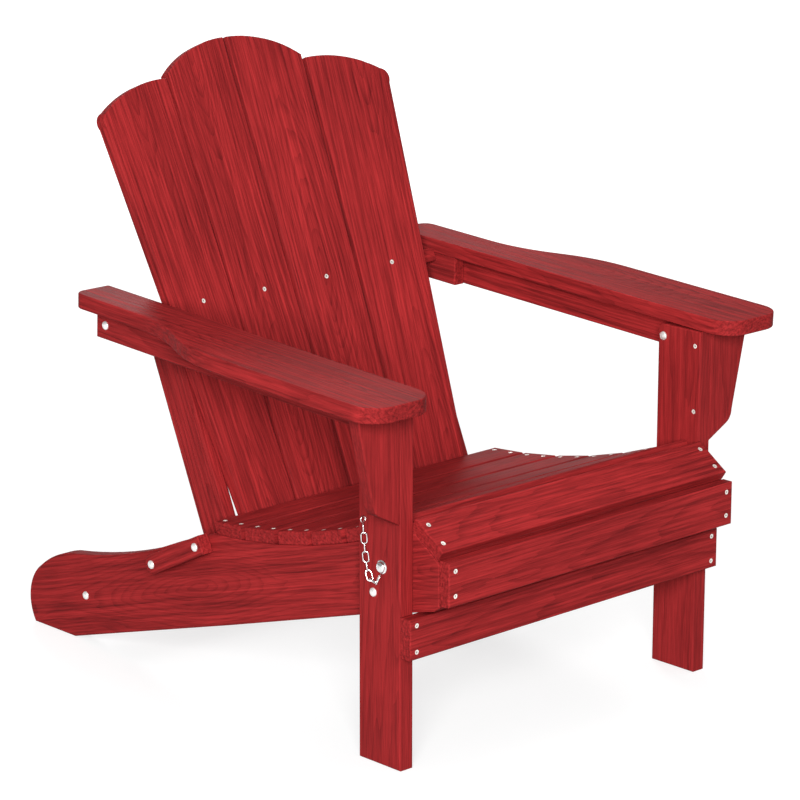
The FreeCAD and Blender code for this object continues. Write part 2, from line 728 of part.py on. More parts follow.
for side, sign in SIDES:
    rail_mid = sign * (rail_in + rail_out) / 2
    arm_screws = []
    for step in (60.0, 250.0, 440.0):
        point = arm_origin + RIGHT * rail_mid + ALONG_ARM * step - ARM_UP * rail_half
        arm_screws.append((point, ARM_UP * 1, 52.0))
    arm_cutter = screw_group(f"{side}_arm_screws", arm_screws)

    rear_bolt_name = f"{side}_arm_rear_bolt"
    rear_point = side_point(sign * rail_out, arm_rear)
    inward = RIGHT * -sign
    grip = rail_out - spacer_in - 1.0
    keep(rear_bolt_name, set_shape(rear_bolt_name, bolt_solid(rear_point, inward, grip, nut=False)))
    rear_cutter = hole_cutter(rear_bolt_name + "_cutter", [(rear_point - inward, inward, size("bolt_dia"), grip + 4)])

    blank = outline_board(f"{side}_arm_rail", (rail_from, -rail_half),
                          box_runs(rail_from, -rail_half, rail_to, rail_half), "board_thick",
                          arm_frame_place(side_start(sign, rail_in, rail_out)))
    keep(f"{side}_arm_rail", blank, [arm_bolt_cutter, rear_cutter, arm_cutter])

    spacer_from = rail_to - size("spacer_length") - 22.0
    spacer_to = rail_to - 22.0 + 10.0
    blank = outline_board(f"{side}_arm_spacer", (spacer_from, -rail_half),
                          box_runs(spacer_from, -rail_half, spacer_to, rail_half), "board_thick",
                          arm_frame_place(side_start(sign, spacer_in, rail_in)))
    keep(f"{side}_arm_spacer", blank, [rear_cutter])

    board_origin = arm_origin + ARM_UP * rail_half + RIGHT * sign * (spacer_in - 1.5)
    if sign > 0:
        place = from_axes(board_origin, RIGHT, ALONG_ARM)
    else:
        place = from_axes(board_origin + ARM_UP * size("arm_thick"), RIGHT * -1, ALONG_ARM)
    blank = outline_board(f"{side}_arm_board", (0, arm_front + corner), arm_runs, "arm_thick", place)
    keep(f"{side}_arm_board", blank, [arm_cutter])

# ---------------------------------------------------------------------------------------------------------
# Links that carry the foot of the back
# ---------------------------------------------------------------------------------------------------------

link_along = Vector(0, toward_back[0], toward_back[1])
link_across = RIGHT.cross(link_along)
half = size("link_width") / 2
link_to = link_reach + size("link_end_reach")
link_runs = [
    ("line", (link_to, -half)),
    ("line", (link_to, half)),
    ("line", (0, half)),
    ("arc", (-half, 0), (0, -half)),
]
sleeve_in = stringer_in - 0.2
crossbar_half = stringer_in - gap
for side, sign in SIDES:
    inward = RIGHT * -sign
    head_point = side_point(sign * link_out, back_pivot)
    bolt_name = f"{side}_back_pivot_bolt"
    grip = link_out - crossbar_half + 36.0
    keep(bolt_name, set_shape(bolt_name, bolt_solid(head_point, inward, grip, nut=False)))
    drill = hole_cutter(bolt_name + "_cutter", [(head_point - inward, inward, size("bolt_dia"), grip + 2)])

    start = side_start(sign, leg_in, link_out)
    place = from_axes(side_point(start, link_pivot), link_along, link_across)
    blank = outline_board(f"{side}_link", (0, -half), link_runs, "board_thick", place)
    keep(f"{side}_link", blank, [link_bolt_cutter, drill])

    sleeve = doc.addObject("Part::Cylinder", f"{side}_pivot_sleeve_blank")
    sleeve.setExpression("Radius", "Sizes.sleeve_dia / 2")
    sleeve.Height = leg_in - sleeve_in - 0.1
    sleeve.Placement = along(side_point(sign * (leg_in - 0.05), back_pivot), inward)
    doc.recompute()
    keep(f"{side}_pivot_sleeve", sleeve, [drill])

    if side == "left":
        back_bolt_cutters = [drill]
    else:
        back_bolt_cutters.append(drill)

# ---------------------------------------------------------------------------------------------------------
# Back: four tapered slats on two crossbars, with a strut down each side behind them
# ---------------------------------------------------------------------------------------------------------

inner_turn = math.radians(size("inner_slat_turn"))
outer_turn = math.radians(size("outer_slat_turn"))
rise = size("back_frame_rise")


def meet_x(height):
    """Where an inner and an outer slat meet, at a height along the back."""
    return size("slat_meet_bottom") + size("slat_meet_flare") * height


def edge_x(height):
    """The outer edge of the back, at a height along it."""
    return size("back_bottom_half") + size("back_flare") * height


bend_x = (meet_x(0) + meet_x(rise)) / 2
bend_behind = -bend_x * math.tan(inner_turn)


def front_behind(x):
    """How far behind the front plane the slats' front faces lie, at a distance from the middle."""
    if x <= bend_x:
        return -x * math.tan(inner_turn)
    return bend_behind - (x - bend_x) * math.tan(outer_turn)


def slat_frame(sign, kind):
    """Origin, sideways direction and rearward normal of a slat's front face."""
    turned = inner_turn if kind == "inner" else outer_turn
    across = RIGHT * (sign * math.cos(turned)) - OUT_BACK * math.sin(turned)
    normal = OUT_BACK * math.cos(turned) + RIGHT * (sign * math.sin(turned))
    start = 0.0 if kind == "inner" else bend_x
    return back_point(sign * start, 0, front_behind(start)), across, normal, turned


back_screws = []
for sign in (-1, 1):
    for kind, places in (("inner", (0, rise)), ("outer", (0, rise))):
        origin, across, normal, turned = slat_frame(sign, kind)
        for height in places:
            if kind == "inner":
                x = meet_x(height) / 2
                distance = x / math.cos(turned)
            else:
                x = (meet_x(height) + edge_x(height)) / 2
                distance = (x - bend_x) / math.cos(turned)
            back_screws.append((origin + across * distance + UP_BACK * height, normal))
back_cutter = screw_group("back_slat_screws", back_screws)

slat_gap_half = size("back_slat_gap") / 2
below = -size("back_slat_below")
for number, (sign, kind) in enumerate([(-1, "outer"), (-1, "inner"), (1, "inner"), (1, "outer")], start=1):
    origin, across, normal, turned = slat_frame(sign, kind)

    def local(x, height, kind=kind, turned=turned):
        """A point of the slat's face, from its distance from the middle and its height."""
        start = 0.0 if kind == "inner" else bend_x
        return ((x - start) / math.cos(turned), height)

    if kind == "inner":
        top = size("inner_slat_top")
        shoulder = top - 44.0
        start = local(slat_gap_half, below)
        runs = [
            ("line", local(meet_x(below) - slat_gap_half, below)),
            ("line", local(meet_x(shoulder) - slat_gap_half, shoulder)),
            ("arc", local(93.0, top - 21.0), local(58.8, top - 8.2)),
            ("arc", local(31.0, top - 2.0), local(slat_gap_half, top)),
            ("line", start),
        ]
    else:
        top = size("outer_slat_top")
        shoulder = top - 60.0
        cheek = top - 36.0
        start = local(meet_x(below) + slat_gap_half, below)
        runs = [
            ("line", local(edge_x(below), below)),
            ("line", local(edge_x(shoulder), shoulder)),
            ("arc", local(edge_x(cheek) - 1.0, top - 46.0), local(edge_x(cheek) - 12.0, cheek)),
            ("arc", local(210.0, top - 10.5), local(meet_x(top) + slat_gap_half, top)),
            ("line", start),
        ]
    place = from_axes(origin, across, UP_BACK)
    if place.Rotation.multVec(UP).dot(normal) < 0:
        place = from_axes(origin + normal * slat, across, UP_BACK)
    blank = outline_board(f"back_slat_{number}", start, runs, "slat_thick", place)
    keep(f"back_slat_{number}", blank, [back_cutter])


def rear_behind(x):
    """How far behind the front plane the slats' rear faces lie, with the touch gap added."""
    turned = inner_turn if x <= bend_x else outer_turn
    return front_behind(x) + slat / math.cos(turned) + touch


# The crossbars stand out behind the slats, with their front edges cut to the back's shallow curve
strut_in = min(stringer_in - 33.5, edge_x(0) + 6.3)
strut_out = strut_in + board
strut_mid = (strut_in + strut_out) / 2
frame_front = rear_behind(strut_in + board / 2) + 1.0


def beam_runs(half_length, rear):
    """Outline of a crossbar, seen along the slats: x sideways and the distance behind the front plane."""
    front = [(x, rear_behind(abs(x))) for x in (half_length, bend_x, 0, -bend_x, -half_length)]
    corners = [(half_length, rear)] + front + [(-half_length, rear)]
    return [("line", corner) for corner in corners]


strut_screws = []
for sign in (-1, 1):
    point = back_point(sign * strut_mid, rise + board / 2, frame_front + size("strut_depth") / 2)
    strut_screws.append((point, UP_BACK * -1))
    point = back_point(sign * strut_mid, -board / 2, frame_front + size("strut_depth") / 2)
    strut_screws.append((point, UP_BACK * 1))
strut_cutter = screw_group("back_strut_screws", strut_screws)

for label, height, half_length, rear_alias in (
        ("upper_back_crossbar", rise, spacer_in - 2.0, "upper_beam_rear"),
        ("lower_back_crossbar", 0.0, crossbar_half, "lower_beam_rear")):
    rear = size(rear_alias)
    runs = beam_runs(half_length, rear)
    origin = back_point(0, height - board / 2, 0)
    place = from_axes(origin + UP_BACK * board, RIGHT, OUT_BACK)
    if place.Rotation.multVec(UP).dot(UP_BACK) > 0:
        place = from_axes(origin, RIGHT, OUT_BACK)
    blank = outline_board(label, (-half_length, rear), runs, "board_thick", place)
    tools = [back_cutter, strut_cutter]
    if height == 0.0:
        tools += back_bolt_cutters
    keep(label, blank, tools)

for side, sign in SIDES:
    start = side_start(sign, strut_in, strut_out)
    place = from_axes(back_point(start, 0, frame_front), OUT_BACK, UP_BACK)
    if place.Rotation.multVec(UP).dot(RIGHT) < 0:
        place = from_axes(back_point(start + board, 0, frame_front), OUT_BACK, UP_BACK)
    low = board / 2
    high = rise - board / 2
    runs = box_runs(0, low, size("strut_depth"), high)
    blank = outline_board(f"{side}_back_strut", (0, low), runs, "board_thick", place)
    keep(f"{side}_back_strut", blank, [strut_cutter])

# ---------------------------------------------------------------------------------------------------------
# Lock pin, its chain and the screw eye that holds the chain
# ---------------------------------------------------------------------------------------------------------

pin_radius = size("pin_dia") / 2
flange = size("pin_flange_dia") / 2
knob = size("pin_knob_dia") / 2
pin_profile = [
    (0, leg_thick - 0.6), (pin_radius - 1.0, leg_thick - 0.6), (pin_radius, leg_thick - 1.6), (pin_radius, 0),
    (flange, 0), (flange, -1.6), (knob - 0.8, -2.0), (knob, -2.8),
    (knob, -4.6), (knob - 1.2, -6.0), (knob - 3.6, -6.9), (0, -7.3),
]
pin_place = along(side_point(-leg_out - 0.1, lock), RIGHT)
keep("lock_pin", set_shape("lock_pin", turned_solid(pin_profile, pin_place)))

wire = size("chain_wire_dia") / 2
eye_ring = Part.makeTorus(4.2, wire, Vector(0, 0, -5.4), REAR)
eye_shank = Part.makeCylinder(1.45, eye_shank_length + 1.2 - 0.5, Vector(0, 0, -1.2))
eye_solid = eye_shank.fuse(eye_ring).removeSplitter()
keep("chain_eye", set_shape("chain_eye", eye_solid.transformed(along(eye_point, RIGHT).toMatrix())))


def chain_link():
    """One oval link, its long way along X, with both ends round."""
    bend = 3.9
    straight = size("chain_pitch") + 2 * wire + 0.6 - 2 * bend
    half_run = straight / 2
    rods = [Part.makeCylinder(wire, straight, Vector(-half_run, side * bend, 0), RIGHT) for side in (-1, 1)]
    ends = []
    for sign in (-1, 1):
        circle = Part.Wire(Part.makeCircle(wire, Vector(sign * half_run, -bend, 0), RIGHT))
        arc = Part.Wire(Part.Arc(Vector(sign * half_run, -bend, 0), Vector(sign * (half_run + bend), 0, 0),
                                 Vector(sign * half_run, bend, 0)).toShape())
        ends.append(arc.makePipeShell([circle], True, False))
    solid = rods[0].fuse([rods[1]] + ends)
    return solid.removeSplitter()


# The chain hangs between the eye and the pin's neck as a heavy line does: its shape is a catenary, set by the
# two ends and the chain's length
chain_x = -leg_out - 5.2
links = int(size("chain_links"))
pitch = size("chain_pitch")
chain_from = (chain_eye[0], chain_eye[1] - 7.0)
chain_to = (lock[0], lock[1] - flange - 2.6)
span = chain_to[0] - chain_from[0]
drop = chain_to[1] - chain_from[1]
length = links * pitch


def catenary_scale():
    """The catenary's scale, found by halving, for the chain's span, drop and length."""
    target = math.sqrt(length ** 2 - drop ** 2)
    low, high = abs(span) / 40, abs(span) * 10
    for _ in range(80):
        middle = (low + high) / 2
        if 2 * middle * math.sinh(abs(span) / (2 * middle)) > target:
            low = middle
        else:
            high = middle
    return middle


scale = catenary_scale()
sway = abs(span)
low_at = sway / 2 - scale * math.atanh(drop / length)


def chain_place(distance):
    """The chain's point at a distance along it from the eye."""
    start = math.sinh(-low_at / scale)
    across = scale * math.asinh(start + distance / scale) + low_at
    height = scale * math.cosh((across - low_at) / scale) - scale * math.cosh(low_at / scale)
    return (chain_from[0] + math.copysign(across, span), chain_from[1] + height)


one_link = chain_link()
chain_solids = []
for index in range(links):
    first = side_point(chain_x, chain_place(index * pitch))
    second = side_point(chain_x, chain_place((index + 1) * pitch))
    way = (second - first).normalize()
    flat = RIGHT.cross(way)
    across = (RIGHT - flat if index % 2 else RIGHT + flat).normalize()
    place = from_axes((first + second) * 0.5, way, across)
    chain_solids.append(one_link.transformed(place.toMatrix()))
keep("tether_chain", set_shape("tether_chain", Part.makeCompound(chain_solids)))

# ---------------------------------------------------------------------------------------------------------
# Check everything, then write one file for each node
# ---------------------------------------------------------------------------------------------------------

doc.recompute()
for item in doc.Objects:
    if "Invalid" in item.State or "Error" in item.State:
        raise RuntimeError(f"{item.Label} failed: {item.State}")
for label, item in finished.items():
    shape = item.Shape
    if shape.isNull() or not shape.isValid() or not shape.Solids:
        raise RuntimeError(f"{label} has a bad shape")

os.makedirs("parts", exist_ok=True)
for label, item in finished.items():
    item.Shape.exportStep(f"parts/{label}.step")
print(f"{len(finished)} nodes written")
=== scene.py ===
"""Looks of a folding adirondack chair: grained plastic boards, steel fasteners and a chained lock pin."""

import json
import logging
import math
from collections.abc import Callable
from dataclasses import dataclass, field
from enum import Enum

import bmesh
import bpy
import numpy as np
from mathutils import Euler, Matrix, Vector

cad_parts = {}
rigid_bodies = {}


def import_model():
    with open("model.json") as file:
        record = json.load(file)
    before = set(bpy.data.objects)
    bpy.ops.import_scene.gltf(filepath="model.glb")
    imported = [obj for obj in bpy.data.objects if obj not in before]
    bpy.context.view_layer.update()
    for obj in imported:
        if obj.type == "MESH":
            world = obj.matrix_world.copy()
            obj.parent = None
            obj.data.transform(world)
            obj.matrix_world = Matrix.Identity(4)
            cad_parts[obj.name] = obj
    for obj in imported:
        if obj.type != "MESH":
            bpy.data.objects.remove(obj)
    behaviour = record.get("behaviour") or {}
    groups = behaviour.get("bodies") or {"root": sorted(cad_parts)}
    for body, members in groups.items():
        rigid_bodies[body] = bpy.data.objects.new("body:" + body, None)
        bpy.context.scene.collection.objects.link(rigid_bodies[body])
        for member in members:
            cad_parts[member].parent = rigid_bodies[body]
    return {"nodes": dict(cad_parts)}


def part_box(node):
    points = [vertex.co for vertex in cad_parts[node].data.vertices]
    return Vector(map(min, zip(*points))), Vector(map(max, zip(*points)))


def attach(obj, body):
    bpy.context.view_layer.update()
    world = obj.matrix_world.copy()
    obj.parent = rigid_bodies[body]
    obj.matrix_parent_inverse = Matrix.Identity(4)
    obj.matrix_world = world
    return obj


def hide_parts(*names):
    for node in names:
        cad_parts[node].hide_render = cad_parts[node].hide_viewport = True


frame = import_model()

LOG = logging.getLogger("chair")

Point = tuple[float, float, float]
FaceTest = Callable[[Vector, Vector], bool]
PointTest = Callable[[Vector], bool]

BACK_LEAN = math.radians(23.63)
ARM_RISE = math.radians(2.44)
GROUND_SLOPE = math.radians(16.6)
NOSE_TILT = math.radians(34.0)
LINK_SLOPE = math.atan2(214.9 - 166.2, 525.6 - 427.8)

ACROSS: Point = (1.0, 0.0, 0.0)
REARWARD: Point = (0.0, 1.0, 0.0)
UPWARD: Point = (0.0, 0.0, 1.0)
UP_BACK: Point = (0.0, math.sin(BACK_LEAN), math.cos(BACK_LEAN))
OUT_BACK: Point = (0.0, math.cos(BACK_LEAN), -math.sin(BACK_LEAN))
ALONG_ARM: Point = (0.0, math.cos(ARM_RISE), math.sin(ARM_RISE))
ARM_TOP: Point = (0.0, -math.sin(ARM_RISE), math.cos(ARM_RISE))
DOWN_STRINGER: Point = (0.0, math.cos(GROUND_SLOPE), -math.sin(GROUND_SLOPE))


class Cut(Enum):
    """How the pressed grain shows on a board: broad arches, nearly straight lines, or faint straight lines."""

    ARCHED = "arched"
    STRAIGHT = "straight"
    FAINT = "faint"


# ---------------------------------------------------------------------------------------------------------
# Finishes
# ---------------------------------------------------------------------------------------------------------


@dataclass(frozen=True)
class NodeBench:
    """A small helper that adds and joins shader nodes of one material."""

    tree: bpy.types.NodeTree

    def add(self, kind: str, **values: object) -> bpy.types.Node:
        """Add a node and set its properties and inputs.

        Args:
            kind: the node's type name.
            **values: properties by name, or inputs by name with spaces written as underscores.

        Returns:
            The new node.
        """
        node = self.tree.nodes.new(kind)
        for name, value in values.items():
            if hasattr(node, name) and name not in ("color", "name"):
                setattr(node, name, value)
            else:
                node.inputs[name.replace("_", " ")].default_value = value
        return node

    def join(self, source: bpy.types.NodeSocket, target: bpy.types.NodeSocket) -> None:
        """Join an output to an input."""
        self.tree.links.new(source, target)

    def maths(self, operation: str, first: object, second: object = 0.0) -> bpy.types.NodeSocket:
        """Add a maths node.

        Args:
            operation: the node's operation.
            first: a socket or a number.
            second: a socket or a number.

        Returns:
            The node's output.
        """
        node = self.tree.nodes.new("ShaderNodeMath")
        node.operation = operation
        for slot, value in enumerate((first, second)):
            if isinstance(value, bpy.types.NodeSocket):
                self.join(value, node.inputs[slot])
            else:
                node.inputs[slot].default_value = float(value)
        return node.outputs[0]


def new_material(name: str) -> tuple[bpy.types.Material, NodeBench, bpy.types.Node]:
    """Make an empty material with a principled shader.

    Args:
        name: the material's name.

    Returns:
        The material, its bench and its shader node.
    """
    material = bpy.data.materials.new(name)
    material.use_nodes = True
    bench = NodeBench(material.node_tree)
    shader = next(node for node in material.node_tree.nodes if node.type == "BSDF_PRINCIPLED")
    return material, bench, shader


@dataclass(frozen=True)
class LumberFinish:
    """Red plastic lumber with a wood grain pressed into its faces."""

    deep: tuple[float, float, float, float] = (0.092, 0.0070, 0.0080, 1.0)
    body: tuple[float, float, float, float] = (0.244, 0.0160, 0.0170, 1.0)
    lit: tuple[float, float, float, float] = (0.415, 0.0270, 0.0285, 1.0)
    ring_scale: float = 62.0
    relief: float = 0.0009
    roughness: float = 0.56
    specular: float = 0.03
    wander_reach: float = 0.036

    def make(
            self, name: str, along: Point, face: Point, centre: Vector, cut: Cut, seed: float,
    ) -> bpy.types.Material:
        """Build the finish for one board.

        Args:
            name: the material's name.
            along: the direction of the grain.
            face: the broad face's normal.
            centre: the board's middle.
            cut: arched or straight grain.
            seed: shifts the pattern, so that no two boards are alike.

        Returns:
            The material.
        """
        material, bench, shader = new_material(name)
        run = Vector(along).normalized()
        normal = Vector(face).normalized()
        side = normal.cross(run).normalized()
        turn = Matrix((run, side, normal))
        shift = -(turn @ centre) + Vector((seed * 1.7, math.sin(seed * 2.3) * 0.012, 0.0))

        where = bench.add("ShaderNodeTexCoord")
        local = bench.add("ShaderNodeMapping", vector_type="POINT")
        local.inputs["Location"].default_value = shift
        local.inputs["Rotation"].default_value = turn.to_euler("XYZ")
        bench.join(where.outputs["Object"], local.inputs["Vector"])
        parts = bench.add("ShaderNodeSeparateXYZ")
        bench.join(local.outputs[0], parts.inputs[0])

        # Slow wander of the grain along the board
        stretched = bench.add("ShaderNodeMapping", vector_type="POINT")
        stretched.inputs["Scale"].default_value = (2.6, 15.0, 15.0)
        bench.join(local.outputs[0], stretched.inputs["Vector"])
        wander = bench.add("ShaderNodeTexNoise", Scale=1.0, Detail=3.0, Roughness=0.55)
        bench.join(stretched.outputs[0], wander.inputs["Vector"])
        drift = bench.maths("MULTIPLY", bench.maths("SUBTRACT", wander.outputs[0], 0.5), self.wander_reach)

        # Rings of a log cut at a low angle, which the face shows as nested arches
        rise, depth = (0.16, 0.004) if cut is Cut.ARCHED else (0.03, 0.085)
        swell = bench.maths("SINE", bench.maths("MULTIPLY", parts.outputs[0], 4.4 + math.sin(seed)))
        slope = bench.maths("MULTIPLY", swell, rise * 0.28)
        depth_at = bench.maths("ADD", bench.maths("ADD", slope, depth), parts.outputs[2])
        wide = bench.maths("ADD", parts.outputs[1], drift)
        tall = bench.maths("ADD", depth_at, bench.maths("MULTIPLY", drift, 0.8))
        ring_point = bench.add("ShaderNodeCombineXYZ")
        bench.join(wide, ring_point.inputs[1])
        bench.join(tall, ring_point.inputs[2])
        rings = bench.add(
            "ShaderNodeTexWave", wave_type="RINGS", rings_direction="X", wave_profile="SAW",
            Scale=self.ring_scale, Distortion=1.1, Detail=2.0, Detail_Scale=1.2)
        bench.join(ring_point.outputs[0], rings.inputs["Vector"])
        ring_line = bench.add("ShaderNodeMapRange", From_Min=0.55, From_Max=1.0, To_Min=0.0, To_Max=1.0)
        bench.join(rings.outputs["Fac"], ring_line.inputs["Value"])

        # Fine pores and drawn streaks
        pore_map = bench.add("ShaderNodeMapping", vector_type="POINT")
        pore_map.inputs["Scale"].default_value = (26.0, 620.0, 620.0)
        bench.join(local.outputs[0], pore_map.inputs["Vector"])
        pores = bench.add("ShaderNodeTexNoise", Scale=1.0, Detail=2.0, Roughness=0.6)
        bench.join(pore_map.outputs[0], pores.inputs["Vector"])
        streak_map = bench.add("ShaderNodeMapping", vector_type="POINT")
        streak_map.inputs["Scale"].default_value = (4.2, 210.0, 210.0)
        bench.join(local.outputs[0], streak_map.inputs["Vector"])
        streaks = bench.add("ShaderNodeTexNoise", Scale=1.0, Detail=3.0, Roughness=0.62)
        bench.join(streak_map.outputs[0], streaks.inputs["Vector"])
        grooves = bench.add("ShaderNodeMapRange", From_Min=0.42, From_Max=0.62, To_Min=0.0, To_Max=1.0)
        bench.join(streaks.outputs[0], grooves.inputs["Value"])

        # Colour: darker in the grain, slightly paler on the ridges, with slow patches
        tone = bench.add("ShaderNodeValToRGB")
        ramp = tone.color_ramp
        ramp.elements[0].position = 0.18
        ramp.elements[0].color = self.deep
        ramp.elements[1].position = 0.86
        ramp.elements[1].color = self.lit
        middle = ramp.elements.new(0.52)
        middle.color = self.body
        patch = bench.add("ShaderNodeTexNoise", Scale=7.0, Detail=2.0, Roughness=0.5)
        bench.join(local.outputs[0], patch.inputs["Vector"])
        mark = bench.maths("MULTIPLY", ring_line.outputs[0], -0.13)
        streak_share, bump_strength = (0.45, 0.3) if cut is Cut.FAINT else (1.05, 0.75)
        mark = bench.maths("ADD", mark, bench.maths("MULTIPLY", streaks.outputs[0], streak_share))
        mark = bench.maths("ADD", mark, bench.maths("MULTIPLY", pores.outputs[0], 0.50))
        mark = bench.maths("ADD", mark, bench.maths("MULTIPLY", patch.outputs[0], 0.25))
        mark = bench.maths("ADD", mark, 0.19 - streak_share / 2)
        bench.join(mark, tone.inputs[0])
        bench.join(tone.outputs[0], shader.inputs["Base Color"])

        # Sheen differs a little between ridge and groove
        gloss = bench.add("ShaderNodeMapRange", From_Min=0.3, From_Max=0.7, To_Min=self.roughness - 0.05,
                          To_Max=self.roughness + 0.10)
        bench.join(streaks.outputs[0], gloss.inputs["Value"])
        bench.join(gloss.outputs[0], shader.inputs["Roughness"])

        height = bench.maths("MULTIPLY", ring_line.outputs[0], -0.45)
        height = bench.maths("ADD", height, bench.maths("MULTIPLY", grooves.outputs[0], 0.60))
        height = bench.maths("ADD", height, bench.maths("MULTIPLY", pores.outputs[0], 0.28))
        bump = bench.add("ShaderNodeBump", Strength=bump_strength, Distance=self.relief)
        bench.join(height, bump.inputs["Height"])
        bench.join(bump.outputs[0], shader.inputs["Normal"])
        shader.inputs["Specular IOR Level"].default_value = self.specular
        return material


@dataclass(frozen=True)
class SteelFinish:
    """Bright plated steel, with turning marks and slight stains."""

    name: str
    colour: tuple[float, float, float, float] = (0.80, 0.79, 0.78, 1.0)
    roughness: float = 0.24
    mark_scale: float = 900.0
    metallic: float = 1.0
    # Whether the colour gets painted shade at the bottom of a screw's recess, darkened where ambient occlusion
    # finds close walls
    painted_recess_shade: bool = False

    def make(self) -> bpy.types.Material:
        """Build the finish.

        Returns:
            The material.
        """
        material, bench, shader = new_material(self.name)
        where = bench.add("ShaderNodeTexCoord")
        marks = bench.add("ShaderNodeTexNoise", Scale=self.mark_scale, Detail=3.0, Roughness=0.6)
        bench.join(where.outputs["Object"], marks.inputs["Vector"])
        stains = bench.add("ShaderNodeTexNoise", Scale=120.0, Detail=2.0)
        bench.join(where.outputs["Object"], stains.inputs["Vector"])
        tone = bench.add("ShaderNodeValToRGB")
        tone.color_ramp.elements[0].position = 0.30
        tone.color_ramp.elements[0].color = tuple(0.72 * c for c in self.colour[:3]) + (1.0,)
        tone.color_ramp.elements[1].position = 0.62
        tone.color_ramp.elements[1].color = self.colour
        bench.join(stains.outputs[0], tone.inputs[0])
        colour = tone.outputs[0]
        if self.painted_recess_shade:
            # Painted shade at the bottom of the driver's recess: the colour darkens where ambient occlusion
            # finds close walls
            open_sky = bench.add("ShaderNodeAmbientOcclusion", Distance=0.0016, samples=8)
            shade = bench.add("ShaderNodeValToRGB")
            shade.color_ramp.elements[0].position = 0.45
            shade.color_ramp.elements[0].color = (0.02, 0.012, 0.010, 1.0)
            shade.color_ramp.elements[1].position = 0.85
            shade.color_ramp.elements[1].color = (1.0, 1.0, 1.0, 1.0)
            bench.join(open_sky.outputs["AO"], shade.inputs[0])
            dark = bench.add("ShaderNodeVectorMath", operation="MULTIPLY")
            bench.join(colour, dark.inputs[0])
            bench.join(shade.outputs[0], dark.inputs[1])
            colour = dark.outputs[0]
        bench.join(colour, shader.inputs["Base Color"])
        gloss = bench.add("ShaderNodeMapRange", From_Min=0.3, From_Max=0.7, To_Min=self.roughness - 0.06,
                          To_Max=self.roughness + 0.12)
        bench.join(marks.outputs[0], gloss.inputs["Value"])
        bench.join(gloss.outputs[0], shader.inputs["Roughness"])
        bump = bench.add("ShaderNodeBump", Strength=0.12, Distance=0.0001)
        bench.join(marks.outputs[0], bump.inputs["Height"])
        bench.join(bump.outputs[0], shader.inputs["Normal"])
        shader.inputs["Metallic"].default_value = self.metallic
        return material


@dataclass(frozen=True)
class NylonFinish:
    """Dull black nylon of the pivot sleeves."""

    name: str = "black_nylon"

    def make(self) -> bpy.types.Material:
        """Build the finish.

        Returns:
            The material.
        """
        material, bench, shader = new_material(self.name)
        where = bench.add("ShaderNodeTexCoord")
        speck = bench.add("ShaderNodeTexNoise", Scale=700.0, Detail=2.0)
        bench.join(where.outputs["Object"], speck.inputs["Vector"])
        tone = bench.add("ShaderNodeValToRGB")
        tone.color_ramp.elements[0].color = (0.012, 0.012, 0.013, 1.0)
        tone.color_ramp.elements[1].color = (0.045, 0.045, 0.047, 1.0)
        bench.join(speck.outputs[0], tone.inputs[0])
        bench.join(tone.outputs[0], shader.inputs["Base Color"])
        bump = bench.add("ShaderNodeBump", Strength=0.25, Distance=0.0002)
        bench.join(speck.outputs[0], bump.inputs["Height"])
        bench.join(bump.outputs[0], shader.inputs["Normal"])
        shader.inputs["Roughness"].default_value = 0.55
        return material


LUMBER = LumberFinish()
# The screw heads carry painted shade in their recesses
SCREW_STEEL = SteelFinish(
    "screw_steel", colour=(0.93, 0.88, 0.82, 1.0), roughness=0.36, metallic=0.4, painted_recess_shade=True)
BOLT_STEEL = SteelFinish("bolt_steel", colour=(0.92, 0.90, 0.88, 1.0), roughness=0.30, metallic=0.6)
PIN_STEEL = SteelFinish("pin_steel", colour=(0.86, 0.86, 0.86, 1.0), roughness=0.16, mark_scale=500.0)


# ---------------------------------------------------------------------------------------------------------
# Making pieces as by hand
# ---------------------------------------------------------------------------------------------------------


def deselect_all() -> None:
    """Deselect every object."""
    for item in bpy.context.view_layer.objects:
        item.select_set(False)


def take_up(piece: bpy.types.Object) -> None:
    """Make one object the selected and active one."""
    deselect_all()
    piece.select_set(True)
    bpy.context.view_layer.objects.active = piece


def pick_faces(piece: bpy.types.Object, wanted: FaceTest) -> None:
    """Select, in edit mode, just the faces that a test accepts.

    Args:
        piece: the object in edit mode.
        wanted: a test of a face's centre and normal.
    """
    shape = bmesh.from_edit_mesh(piece.data)
    for face in shape.faces:
        face.select_set(False)
    for face in shape.faces:
        if wanted(face.calc_center_median(), face.normal):
            face.select_set(True)
    shape.select_flush_mode()
    bmesh.update_edit_mesh(piece.data)


def pick_points(piece: bpy.types.Object, wanted: PointTest) -> None:
    """Select, in edit mode, just the vertices that a test accepts.

    Args:
        piece: the object in edit mode.
        wanted: a test of a vertex's place.
    """
    bpy.ops.mesh.select_mode(type="VERT")
    shape = bmesh.from_edit_mesh(piece.data)
    for point in shape.verts:
        point.select_set(wanted(point.co))
    shape.select_flush_mode()
    bmesh.update_edit_mesh(piece.data)


def push_out(distance: float, scale: float, centre: Vector) -> None:
    """Extrude the picked faces along Z and resize them about a centre.

    Args:
        distance: how far along Z.
        scale: the new size across, as a share of the old.
        centre: the middle of the resize.
    """
    bpy.ops.mesh.extrude_region_move(TRANSFORM_OT_translate={"value": (0.0, 0.0, distance)})
    if scale != 1.0:
        bpy.ops.transform.resize(value=(scale, scale, 1.0), center_override=centre)


